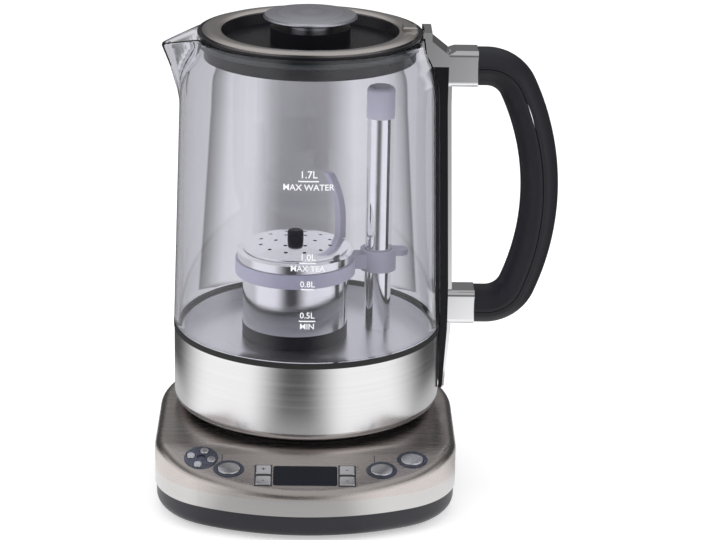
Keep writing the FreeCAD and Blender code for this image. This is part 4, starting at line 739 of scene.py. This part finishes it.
class Bench:
    """Models one new piece with edit tools."""

    def __init__(self, name: str) -> None:
        """Clears the selection so that a tool acts on the new piece alone.

        Args:
            name: The piece's name.
        """
        self.name = name
        bpy.ops.object.select_all(action="DESELECT")
        self.piece: bpy.types.Object | None = None

    def take(self) -> bpy.types.Object:
        """Takes the primitive just added as the piece."""
        self.piece = bpy.context.object
        self.piece.name = self.name
        self.piece.data.name = self.name
        return self.piece

    def block(self, centre: Vector, size: Vector) -> None:
        """Starts from a block.

        Args:
            centre: Its middle.
            size: Its full size along each axis.
        """
        bpy.ops.mesh.primitive_cube_add(size=1.0, location=centre, scale=size)
        self.take()
        bpy.ops.object.transform_apply(location=True, rotation=True, scale=True)

    def words(self, text: str, height: float, weight: float = 0.0) -> None:
        """Starts from flat lettering, centred at the origin in the XY plane.

        Args:
            text: The characters.
            height: The height of the capitals.
            weight: How far each stroke is thickened.
        """
        bpy.ops.object.text_add(location=(0.0, 0.0, 0.0))
        label = bpy.context.object
        label.data.body = text
        label.data.size = height * 1.38
        label.data.align_x = "CENTER"
        label.data.align_y = "CENTER"
        label.data.offset = weight
        label.data.resolution_u = 3
        bpy.ops.object.convert(target="MESH")
        self.take()
        self.merge(height * 0.002)

    def pick_faces(self, wanted: Callable[[Vector, Vector], bool]) -> int:
        """Selects the faces that wanted picks by their centre and normal.

        Args:
            wanted: Says whether a face is picked.

        Returns:
            How many faces were picked.
        """
        bpy.ops.object.mode_set(mode="EDIT")
        bpy.ops.mesh.select_mode(type="FACE")
        bpy.ops.mesh.select_all(action="DESELECT")
        bpy.ops.object.mode_set(mode="OBJECT")
        count = 0
        for face in self.piece.data.polygons:
            face.select = wanted(face.center, face.normal)
            count += int(face.select)
        bpy.ops.object.mode_set(mode="EDIT")
        return count

    def inset(self, thickness: float, depth: float) -> None:
        """Insets the picked faces and moves them along their normals."""
        bpy.ops.mesh.inset(thickness=thickness, depth=depth)

    def leave(self) -> None:
        """Leaves edit mode."""
        if self.piece.mode != "OBJECT":
            bpy.ops.object.mode_set(mode="OBJECT")

    def merge(self, distance: float) -> None:
        """Merges vertices that lie together."""
        bpy.ops.object.mode_set(mode="EDIT")
        bpy.ops.mesh.select_all(action="SELECT")
        bpy.ops.mesh.remove_doubles(threshold=distance)
        bpy.ops.object.mode_set(mode="OBJECT")

    def split_long_edges(self, cuts: int) -> None:
        """Cuts every edge into short runs so that the piece can follow a curved wall."""
        bpy.ops.object.mode_set(mode="EDIT")
        bpy.ops.mesh.select_all(action="SELECT")
        bpy.ops.mesh.subdivide(number_cuts=cuts)
        bpy.ops.object.mode_set(mode="OBJECT")

    def bevel(self, width: float, segments: int = 2) -> None:
        """Rounds the piece's sharp edges with an applied bevel."""
        self.leave()
        tool = self.piece.modifiers.new("edge_round", "BEVEL")
        tool.width = width
        tool.segments = segments
        tool.limit_method = "ANGLE"
        tool.angle_limit = math.radians(35.0)
        bpy.ops.object.modifier_apply(modifier=tool.name)

    def thicken(self, depth: float) -> None:
        """Gives a flat piece a thickness with an applied solidify."""
        self.leave()
        tool = self.piece.modifiers.new("wall", "SOLIDIFY")
        tool.thickness = depth
        tool.offset = 1.0
        bpy.ops.object.modifier_apply(modifier=tool.name)

    def place(self, matrix: Matrix) -> None:
        """Moves the piece's mesh by a matrix."""
        self.leave()
        self.piece.data.transform(matrix)

    def wrap(self, radius: Callable[[float], float]) -> None:
        """Wraps a piece drawn in the XZ plane onto the front of a round wall.

        Args:
            radius: Gives the wall's radius at a height.
        """
        self.leave()
        for vertex in self.piece.data.vertices:
            reach = radius(vertex.co.z) - vertex.co.y
            turn = vertex.co.x / reach
            vertex.co = Vector((math.sin(turn) * reach, -math.cos(turn) * reach, vertex.co.z))

    def finish(
        self, carrier: Carrier, material: bpy.types.Material, slot: str | None = None, smooth: float = 35.0
    ) -> bpy.types.Object:
        """Smooths, paints and hands the piece to the body that carries it.

        Args:
            carrier: The body it rides on.
            material: Its material.
            slot: Meant as the record's slot for its finish; not used.
            smooth: The angle in degrees under which edges are shaded smooth.

        Returns:
            The finished piece.
        """
        self.leave()
        bpy.ops.object.shade_smooth_by_angle(angle=math.radians(smooth))
        self.piece.data.materials.clear()
        self.piece.data.materials.append(material)
        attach(self.piece, carrier.value)
        log.info("made %s", self.name)
        return self.piece


def dress(frame: dict, finish: bpy.types.Material, names: Iterable[str]) -> None:
    """Gives several carried-over pieces one finish.

    Args:
        frame: The loaded frame.
        finish: The material.
        names: The pieces' names.
    """
    for name in names:
        piece = frame["nodes"][name]
        piece.data.materials.clear()
        piece.data.materials.append(finish)
        log.info("dressed %s in %s", name, finish.name)


def on_slope(across: float, up_slope: float, lift: float) -> Matrix:
    """Where a piece drawn flat at the origin goes on the sloping deck.

    Args:
        across: Its distance to the right of the middle.
        up_slope: Its distance up the slope from the crease, below zero towards the front.
        lift: Its height above the deck.

    Returns:
        The matrix that moves it there.
    """
    turn = Matrix.Rotation(DECK_SLOPE, 4, "X")
    return Matrix.Translation(CREASE) @ turn @ Matrix.Translation(Vector((across, up_slope, lift)))


@dataclass
class PowerBase:
    """The base with its sloping deck, display and keys."""

    frame: dict
    finishes: Finishes
    panel_up: float = -0.023
    key_across: float = 0.0226
    key_spread: float = 0.0044
    key_width: float = 0.0084
    key_height: float = 0.0072
    key_stand: float = 0.0008
    frame_line: float = 0.0006
    frame_inner_line: float = 0.00045
    frame_depth: float = 0.0002
    sign_height: float = 0.0034
    print_depth: float = 0.00005
    etched_width: float = 0.0006
    etched_length: float = 0.0058
    etched_depth: float = 0.00006
    etched_up: float = -0.0085
    etched_across: tuple[float, float] = (-0.0452, 0.0374)

    def build(self) -> None:
        """Dresses the base and adds its printed and framed details."""
        self.dress_body()
        self.frame_keys()
        self.print_signs()
        self.etch_lines()

    def dress_body(self) -> None:
        """Gives the base's own pieces their finishes."""
        made = self.finishes
        dress(self.frame, made.deck_steel, ["deck"])
        dress(self.frame, made.trim_steel, ["trim_band"])
        dress(self.frame, made.base_black, ["base_tray"])
        dress(self.frame, made.rubber, ["base_feet", "cord_gland"])
        dress(self.frame, made.inner_black, ["seat_plate", "connector_hub", "connector_shutter"])
        dress(self.frame, made.inner_black, ["display_module", "tact_switches"])
        dress(self.frame, made.board_green, ["control_board", "power_board"])
        dress(self.frame, made.brass, ["connector_contacts"])
        dress(self.frame, made.screw_steel, ["base_screws"])
        dress(self.frame, made.surround_smoke, ["button_surrounds"])
        dress(self.frame, made.display_glass, ["display_window"])
        keys = ["menu_button", "start_button", "power_button"]
        keys += ["left_upper_key", "left_lower_key", "right_upper_key", "right_lower_key"]
        keys += ["pad_right_key", "pad_up_key", "pad_left_key", "pad_down_key"]
        dress(self.frame, made.key_chrome, keys)

    def frame_keys(self) -> None:
        """Puts a thin dark line frame round each panel key."""
        for side, word in ((-1.0, "left"), (1.0, "right")):
            for rise, level in ((1.0, "upper"), (-1.0, "lower")):
                bench = Bench(f"{word}_{level}_key_frame")
                wide = self.key_width + 2.0 * self.frame_line
                tall = self.key_height + 2.0 * self.frame_line
                bench.block(Vector((0.0, 0.0, 0.0)), Vector((wide, tall, self.frame_depth)))
                bench.pick_faces(lambda centre, normal: abs(normal.z) > 0.9)
                bench.inset(self.frame_inner_line, 0.0)
                bpy.ops.mesh.delete(type="FACE")
                bench.leave()
                self.bridge_hole()
                bench.place(self.on_key(side, rise, self.frame_depth / 2.0))
                bench.finish(Carrier.BASE, self.finishes.dark_print, slot="surround_black")

    def on_key(self, side: float, rise: float, lift: float) -> Matrix:
        """Where a piece drawn flat at the origin goes over one of the panel keys."""
        return on_slope(side * self.key_across, self.panel_up + rise * self.key_spread, lift)

    def bridge_hole(self) -> None:
        """Joins the two open rims of the frame being made with a wall."""
        bpy.ops.object.mode_set(mode="EDIT")
        bpy.ops.mesh.select_mode(type="EDGE")
        bpy.ops.mesh.select_all(action="DESELECT")
        bpy.ops.mesh.select_non_manifold()
        bpy.ops.mesh.bridge_edge_loops()
        bpy.ops.mesh.select_all(action="SELECT")
        bpy.ops.mesh.normals_make_consistent(inside=False)
        bpy.ops.object.mode_set(mode="OBJECT")

    def print_signs(self) -> None:
        """Prints a plus and a minus on the left panel keys and a short bar on each right one."""
        signs = (
            ("plus_sign", "+", -1.0, 1.0),
            ("minus_sign", "-", -1.0, -1.0),
            ("upper_bar", "-", 1.0, 1.0),
            ("lower_bar", "-", 1.0, -1.0),
        )
        for name, sign, side, rise in signs:
            bench = Bench(name)
            bench.words(sign, self.sign_height, 0.00002)
            bench.thicken(self.print_depth)
            bench.place(self.on_key(side, rise, self.key_stand + 0.00001))
            bench.finish(Carrier.BASE, self.finishes.dark_print, slot="surround_black")

    def etch_lines(self) -> None:
        """Etches a short upright line above each near oval button."""
        for word, across in zip(("left", "right"), self.etched_across):
            bench = Bench(f"{word}_etched_line")
            size = Vector((self.etched_width, self.etched_length, self.etched_depth))
            bench.block(Vector((0.0, 0.0, 0.0)), size)
            bench.bevel(0.0001, 1)
            bench.place(on_slope(across, self.etched_up, self.etched_depth / 3.0))
            bench.finish(Carrier.BASE, self.finishes.dark_print, slot="surround_black")


@dataclass
class GlassWall:
    """The jug's glass: a tall tapering wall drawn in at the shoulder, with a pointed pouring lip."""

    finishes: Finishes
    foot_radius: float = 0.0752
    foot_height: float = 0.089
    shoulder_radius: float = 0.0715
    shoulder_height: float = 0.220
    neck_radius: float = 0.0643
    neck_height: float = 0.245
    rim_radius: float = 0.063
    rim_height: float = 0.254
    wall: float = 0.0025
    lip_start: float = 0.060
    lip_slope: float = math.radians(17.0)
    lip_levels: tuple[float, ...] = (0.216, 0.236, 0.257)
    lip_reaches: tuple[float, ...] = (0.071, 0.0768, 0.0852)
    lip_halves: tuple[float, ...] = (0.008, 0.016, 0.025)
    lip_roots: tuple[float, ...] = (0.065, 0.0625, 0.054)
    lip_turn: float = math.radians(60.0)
    lip_fillet: float = 0.0016
    lip_edge_drop: float = 0.006
    tip_half: float = 0.003
    edge_round: float = 0.0009
    sides: int = 256
    rows: int = 44

    def side(self, height: float) -> float:
        """The radius of the glass's outside at a height."""
        if height <= self.shoulder_height:
            share = (height - self.foot_height) / (self.shoulder_height - self.foot_height)
            return self.foot_radius + (self.shoulder_radius - self.foot_radius) * share
        if height <= self.neck_height:
            drop = self.shoulder_radius - self.neck_radius
            rise = self.neck_height - self.shoulder_height
            arc = (drop * drop + rise * rise) / (2.0 * drop)
            up = height - self.shoulder_height
            return self.shoulder_radius - arc + math.sqrt(arc * arc - up * up)
        share = (height - self.neck_height) / (self.rim_height - self.neck_height)
        return self.neck_radius + (self.rim_radius - self.neck_radius) * share

    def lip(self, height: float, turn: float) -> float:
        """How far the pouring lip reaches at a height, in a direction turned from its tip."""
        low, middle, _top = self.lip_levels
        if height < low or abs(turn) > self.lip_turn:
            return 0.0
        first = 0 if height < middle else 1
        share = (height - self.lip_levels[first]) / (self.lip_levels[first + 1] - self.lip_levels[first])
        reach, half, root = (
            sizes[first] + (sizes[first + 1] - sizes[first]) * share
            for sizes in (self.lip_reaches, self.lip_halves, self.lip_roots)
        )
        run = Vector((reach - root, self.tip_half - half))
        across = abs(math.sin(turn))
        along = math.cos(turn)
        flank = (root * run.y - half * run.x) / (along * run.y - across * run.x)
        round_tip = reach / max(along, 0.5)
        return min(flank, round_tip)

    def blend(self, body: float, lip: float) -> float:
        """Joins the round body and the lip with a small fillet."""
        soft = self.lip_fillet
        reach = max(soft - abs(body - lip), 0.0) / soft
        return max(body, lip) + reach * reach * soft * 0.25

    def place_on_wall(self, share: float, turn: float) -> Vector:
        """Where the wall stands at a share of its height, in a direction turned from the lip's tip."""
        height = self.foot_height + (self.rim_height - self.foot_height) * share
        low = self.lip_levels[0]
        lowered = height
        reach = self.side(height)
        for _ in range(6):
            reach = self.blend(self.side(lowered), self.lip(lowered, turn))
            top_lip = self.lip(self.rim_height - self.lip_edge_drop, turn)
            top_reach = self.blend(self.side(self.rim_height), top_lip)
            past = max(top_reach * math.cos(turn) - self.lip_start, 0.0)
            top = self.rim_height - past * math.tan(self.lip_slope)
            if height > low:
                lowered = low + (height - low) * (top - low) / (self.rim_height - low)
        return Vector((-math.cos(turn) * reach, math.sin(turn) * reach, lowered))

    def build(self) -> None:
        """Raises a ring of edges row by row, draws it to the wall's shape and gives it its thickness."""
        bench = Bench("glass_wall")
        bpy.ops.mesh.primitive_circle_add(
            vertices=self.sides, radius=self.foot_radius, location=(0.0, 0.0, self.foot_height)
        )
        bench.take()
        bpy.ops.object.transform_apply(location=True, rotation=True, scale=True)
        step = (self.rim_height - self.foot_height) / self.rows
        bpy.ops.object.mode_set(mode="EDIT")
        bpy.ops.mesh.select_mode(type="EDGE")
        bpy.ops.mesh.select_all(action="SELECT")
        for _ in range(self.rows):
            bpy.ops.mesh.extrude_region_move(TRANSFORM_OT_translate={"value": (0.0, 0.0, step)})
        bpy.ops.mesh.select_all(action="SELECT")
        bpy.ops.mesh.normals_make_consistent(inside=False)
        bpy.ops.object.mode_set(mode="OBJECT")
        tall = self.rim_height - self.foot_height
        for vertex in bench.piece.data.vertices:
            share = (vertex.co.z - self.foot_height) / tall
            turn = math.atan2(vertex.co.y, -vertex.co.x)
            vertex.co = self.place_on_wall(min(max(share, 0.0), 1.0), turn)
        tool = bench.piece.modifiers.new("wall", "SOLIDIFY")
        tool.thickness = self.wall
        tool.offset = -1.0
        tool.use_even_offset = True
        bpy.ops.object.modifier_apply(modifier=tool.name)
        edge = bench.piece.modifiers.new("fire_polished_edge", "BEVEL")
        edge.width = self.edge_round
        edge.segments = 3
        edge.limit_method = "ANGLE"
        edge.angle_limit = math.radians(60.0)
        bpy.ops.object.modifier_apply(modifier=edge.name)
        bench.finish(Carrier.JUG, self.finishes.jug_glass, slot="jug_glass", smooth=50.0)
        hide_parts("glass_jug")


@dataclass
class VolumeMarks:
    """The fired-on marks on the front of the glass."""

    finishes: Finishes
    glass: GlassWall
    stand_off: float = 0.00002
    stroke: float = 0.00006
    depth: float = 0.00005
    line_height: float = 0.0007

    def wall(self, height: float) -> float:
        """The radius at which the marks stand on the glass at a height."""
        return self.glass.side(height) + self.stand_off

    def build(self) -> None:
        """Makes each mark as lettering over a short line."""
        marks = [
            ("full_mark", "1.7L", 0.1945, 0.0040),
            ("full_words", "MAX WATER", 0.1875, 0.0034),
            ("tea_mark", "1.0L", 0.1490, 0.0036),
            ("tea_words", "MAX TEA", 0.1427, 0.0032),
            ("middle_mark", "0.8L", 0.1340, 0.0034),
            ("low_mark", "0.5L", 0.1165, 0.0034),
            ("low_words", "MIN", 0.1103, 0.0032),
        ]
        for name, words, height, size in marks:
            bench = Bench(name)
            bench.words(words, size, self.stroke)
            self.lay(bench, height)
        for name, height, width in (
            ("full_line", 0.1910, 0.011),
            ("tea_line", 0.1459, 0.009),
            ("middle_line", 0.1313, 0.007),
            ("low_line", 0.1134, 0.009),
        ):
            bench = Bench(name)
            bpy.ops.mesh.primitive_plane_add(size=1.0, location=(0.0, 0.0, 0.0))
            bench.take()
            bench.place(Matrix.Diagonal((width, self.line_height, 1.0, 1.0)))
            bench.split_long_edges(6)
            self.lay(bench, height)

    def lay(self, bench: Bench, height: float) -> None:
        """Stands a flat mark up, thickens it and wraps it on the glass."""
        upright = Matrix.Rotation(math.radians(90.0), 4, "X")
        bench.place(Matrix.Translation(Vector((0.0, 0.0, height))) @ upright)
        bench.wrap(self.wall)
        bench.thicken(self.depth)
        bench.finish(Carrier.JUG, self.finishes.white_enamel_painted_glow, slot="jug_glass")


@dataclass
class Jug:
    """The glass jug with its band, heater, lift post and connector."""

    frame: dict
    finishes: Finishes

    def build(self) -> None:
        """Dresses the jug's pieces."""
        made = self.finishes
        dress(self.frame, made.band_steel, ["jug_band"])
        dress(self.frame, made.floor_steel, ["jug_floor"])
        dress(self.frame, made.rubber, ["jug_gasket"])
        dress(self.frame, made.inner_black, ["jug_underside", "jug_connector", "temperature_probe"])
        dress(self.frame, made.heater_metal, ["heating_element", "lift_motor"])
        dress(self.frame, made.screw_steel, ["underside_screws", "lead_screw", "magnet_nut"])
        dress(self.frame, made.chrome, ["lift_post"])
        dress(self.frame, made.cap_grey, ["post_cap"])
        glass = GlassWall(made)
        glass.build()
        VolumeMarks(made, glass).build()


@dataclass
class TeaBasket:
    """The tea basket with its lid, lever and carriage."""

    frame: dict
    finishes: Finishes

    def build(self) -> None:
        """Dresses the basket's pieces."""
        made = self.finishes
        dress(self.frame, made.carriage_grey, ["carriage"])
        dress(self.frame, made.basket_steel, ["basket_drum", "basket_lid"])
        dress(self.frame, made.basket_dark, ["basket_base", "basket_lid_knob"])
        dress(self.frame, made.carriage_grey, ["basket_handle"])


@dataclass
class Lid:
    """The lift-off lid with its ring, seal and knob."""

    frame: dict
    finishes: Finishes

    def build(self) -> None:
        """Dresses the lid's pieces."""
        made = self.finishes
        dress(self.frame, made.gloss_black, ["lid_dish"])
        dress(self.frame, made.ring_steel, ["lid_ring", "lid_tab"])
        dress(self.frame, made.silicone, ["lid_seal"])
        dress(self.frame, made.knob_steel, ["lid_knob"])


@dataclass
class Handle:
    """The loop handle with its spine, brackets and grip."""

    frame: dict
    finishes: Finishes

    def build(self) -> None:
        """Dresses the handle's pieces."""
        made = self.finishes
        dress(self.frame, made.gloss_black, ["handle_spine"])
        dress(self.frame, made.chrome, ["spine_trim", "upper_bracket", "lower_bracket", "rim_clip"])
        dress(self.frame, made.grip_black, ["grip_outer", "grip_inner"])
        dress(self.frame, made.screw_steel, ["handle_screws"])


@dataclass
class Studio:
    """The pale floor, the surroundings, the soft lights and the camera."""

    floor_half: float = 6.0
    floor_drop: float = 0.0002
    floor_shade: float = 0.82
    floor_lift: float = 0.42
    near_reach: tuple[float, float] = (0.175, 0.235)
    near_level: float = 0.55
    # Painted shade and highlight bands on the floor that only glass shows: their half width as a spread,
    # and their levels across it.
    glass_painted_half: float = 0.0560
    glass_painted_levels: tuple[tuple[float, float], ...] = (
        (0.0, 0.63),
        (0.015, 0.16),
        (0.07, 0.36),
        (0.14, 0.71),
        (0.20, 0.79),
        (0.27, 0.77),
        (0.34, 0.44),
        (0.385, 0.32),
        (0.575, 0.34),
        (0.62, 0.49),
        (0.69, 0.77),
        (0.84, 0.68),
        (0.90, 0.58),
        (0.95, 0.38),
        (0.985, 0.16),
        (1.0, 0.63),
    )
    wall_half: tuple[float, float] = (0.10, 0.32)
    wall_levels: tuple[float, float] = (0.19, 0.08)
    ceiling_start: tuple[float, float] = (0.30, 0.62)
    ceiling_levels: tuple[tuple[float, float], ...] = (
        (0.0, 0.52),
        (0.16, 0.62),
        (0.34, 0.60),
        (0.60, 0.26),
        (0.85, 0.14),
    )
    room_light: float = 0.62
    lamp_aim: float = 0.12
    camera_back: float = 1.38393
    camera_height: float = 0.583
    camera_turn: tuple[float, float, float] = (71.42107, -0.97784, -0.84169)
    lens: float = 130.265

    def build(self) -> None:
        """Sets up the whole studio."""
        self.lay_floor()
        self.hang_lights()
        self.light_surroundings()
        self.set_camera()

    def lay_floor(self) -> None:
        """Lays a pale floor that metal and glass see with the same shades as the room round it."""
        bpy.ops.object.select_all(action="DESELECT")
        bpy.ops.mesh.primitive_plane_add(size=self.floor_half * 2.0, location=(0.0, 0.0, -self.floor_drop))
        floor = bpy.context.object
        floor.name = "studio_floor"
        bpy.ops.object.transform_apply(location=True, rotation=True, scale=True)
        material = bpy.data.materials.new("studio_floor")
        material.use_nodes = True
        board = NodeBoard(material.node_tree)
        output = board.add("ShaderNodeOutputMaterial")
        pale = board.add("ShaderNodeBsdfDiffuse")
        pale.inputs["Color"].default_value = (self.floor_shade, self.floor_shade, self.floor_shade, 1.0)
        lift = board.add("ShaderNodeEmission", Strength=self.floor_lift)
        seen = board.add("ShaderNodeAddShader")
        board.join(pale.outputs[0], seen.inputs[0])
        board.join(lift.outputs[0], seen.inputs[1])
        light = board.add("ShaderNodeLightPath")
        shown = board.blend(light.outputs["Is Camera Ray"], pale.outputs[0], seen.outputs[0])
        place = board.add("ShaderNodeTexCoord")
        # Rays through glass see painted shade and highlight bands here, not the room.
        through = board.add("ShaderNodeEmission")
        board.join(self.glass_painted_shade(board, place.outputs["Object"]), through.inputs["Color"])
        sides = use_group(board, room_group())
        board.join(place.outputs["Object"], sides.inputs["Vector"])
        reach = board.chain("ShaderNodeVectorMath", place.outputs["Object"], operation="LENGTH")
        near = board.ramp(reach.outputs["Value"], *self.near_reach, (self.near_level, 0.0))
        mirrored = board.add("ShaderNodeEmission")
        board.join(board.joint_sum("MAXIMUM", near, sides.outputs["Level"]), mirrored.inputs["Strength"])
        unglazed = board.blend(light.outputs["Is Glossy Ray"], shown, mirrored.outputs[0])
        final = board.blend(light.outputs["Is Transmission Ray"], unglazed, through.outputs[0])
        board.join(final, output.inputs["Surface"])
        floor.data.materials.append(material)

    def glass_painted_shade(self, board: NodeBoard, place: bpy.types.NodeSocket) -> bpy.types.NodeSocket:
        """Paints shade and highlight bands on the floor behind the jug, which only rays through glass see.
        They darken the glass's middle and edges and brighten two bands between them.

        Args:
            board: The floor material's board.
            place: The socket of the floor's own coordinates.

        Returns:
            The socket of the shade.
        """
        parts = board.chain("ShaderNodeSeparateXYZ", place)
        depth = board.sum("MAXIMUM", board.sum("ADD", parts.outputs["Y"], self.camera_back), 0.3)
        spread = board.joint_sum("DIVIDE", parts.outputs["X"], depth)
        share = board.ramp(spread, -self.glass_painted_half, self.glass_painted_half, curve="LINEAR")
        # Painted shade at the glass's edges and middle, and painted highlights in two bands between them.
        glass_bands = shade_ramp(board, share, self.glass_painted_levels)
        sides = use_group(board, room_group())
        board.join(place, sides.inputs["Vector"])
        shade = board.add("ShaderNodeMix", data_type="FLOAT")
        board.join(board.ramp(parts.outputs["Y"], -0.05, 0.05, curve="LINEAR"), shade.inputs[0])
        board.join(sides.outputs["Front"], shade.inputs[2])
        board.join(glass_bands, shade.inputs[3])
        return shade.outputs[0]

    def hang_lights(self) -> None:
        """Hangs one large soft light at each side and one overhead."""
        lights = (
            ("left_softbox", (-1.5, -0.5, 0.9), 1.3, 13.0),
            ("right_softbox", (1.5, -0.4, 0.9), 1.3, 11.0),
            ("top_softbox", (0.0, 0.1, 1.7), 1.0, 6.0),
        )
        for name, spot, size, power in lights:
            data = bpy.data.lights.new(name, "AREA")
            data.shape = "SQUARE"
            data.size = size
            data.energy = power
            lamp = bpy.data.objects.new(name, data)
            bpy.context.scene.collection.objects.link(lamp)
            lamp.location = spot
            lamp.visible_glossy = False
            lamp.visible_transmission = False
            aim = Vector((0.0, 0.0, self.lamp_aim)) - Vector(spot)
            lamp.rotation_euler = aim.to_track_quat("-Z", "Y").to_euler()

    def light_surroundings(self) -> None:
        """Makes the room white to the eye, and dark in front and dim behind where metal mirrors it."""
        world = bpy.data.worlds.new("studio_surroundings")
        bpy.context.scene.world = world
        world.use_nodes = True
        board = NodeBoard(world.node_tree)
        output = board.add("ShaderNodeOutputWorld")
        place = board.add("ShaderNodeTexCoord")
        parts = board.chain("ShaderNodeSeparateXYZ", place.outputs["Generated"])
        sides = use_group(board, room_group())
        board.join(place.outputs["Generated"], sides.inputs["Vector"])
        side = board.chain("ShaderNodeMath", parts.outputs["X"], operation="ABSOLUTE").outputs[0]
        wall = board.ramp(side, *self.wall_half, self.wall_levels)
        behind = board.sum("GREATER_THAN", parts.outputs["Y"], 0.2)
        low = board.joint_sum("MAXIMUM", board.joint_sum("MULTIPLY", wall, behind), sides.outputs["Level"])
        level = board.add("ShaderNodeMix", data_type="FLOAT")
        board.join(board.ramp(parts.outputs["Z"], *self.ceiling_start), level.inputs[0])
        board.join(low, level.inputs[2])
        board.join(shade_ramp(board, side, self.ceiling_levels), level.inputs[3])
        mirrored = board.add("ShaderNodeBackground")
        board.join(level.outputs[0], mirrored.inputs["Strength"])
        plain = board.add("ShaderNodeBackground", Strength=self.room_light)
        plain.inputs["Color"].default_value = (0.97, 0.97, 1.0, 1.0)
        white = board.add("ShaderNodeBackground", Strength=1.0)
        light = board.add("ShaderNodeLightPath")
        direct = board.joint_sum(
            "MAXIMUM", light.outputs["Is Camera Ray"], light.outputs["Is Transmission Ray"]
        )
        unseen = board.blend(light.outputs["Is Glossy Ray"], plain.outputs[0], mirrored.outputs[0])
        final = board.blend(direct, unseen, white.outputs[0])
        board.join(final, output.inputs["Surface"])

    def set_camera(self) -> None:
        """Puts the camera where the picture was taken from."""
        data = bpy.data.cameras.new("picture_camera")
        data.sensor_width = 36.0
        data.lens = self.lens
        camera = bpy.data.objects.new("picture_camera", data)
        bpy.context.scene.collection.objects.link(camera)
        camera.location = (0.00012, -self.camera_back, self.camera_height)
        camera.rotation_euler = Euler([math.radians(turn) for turn in self.camera_turn], "XYZ")
        bpy.context.scene.camera = camera


def main() -> None:
    """Builds the scene piece by piece."""
    logging.basicConfig(level=logging.INFO, format="%(name)s: %(message)s")
    for item in list(bpy.data.objects):
        bpy.data.objects.remove(item)
    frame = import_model()
    bpy.context.scene.view_settings.view_transform = "Standard"
    Studio().build()
    finishes = Finishes()
    PowerBase(frame, finishes).build()
    Jug(frame, finishes).build()
    TeaBasket(frame, finishes).build()
    Lid(frame, finishes).build()
    Handle(frame, finishes).build()


if __name__ == "__main__":
    main()
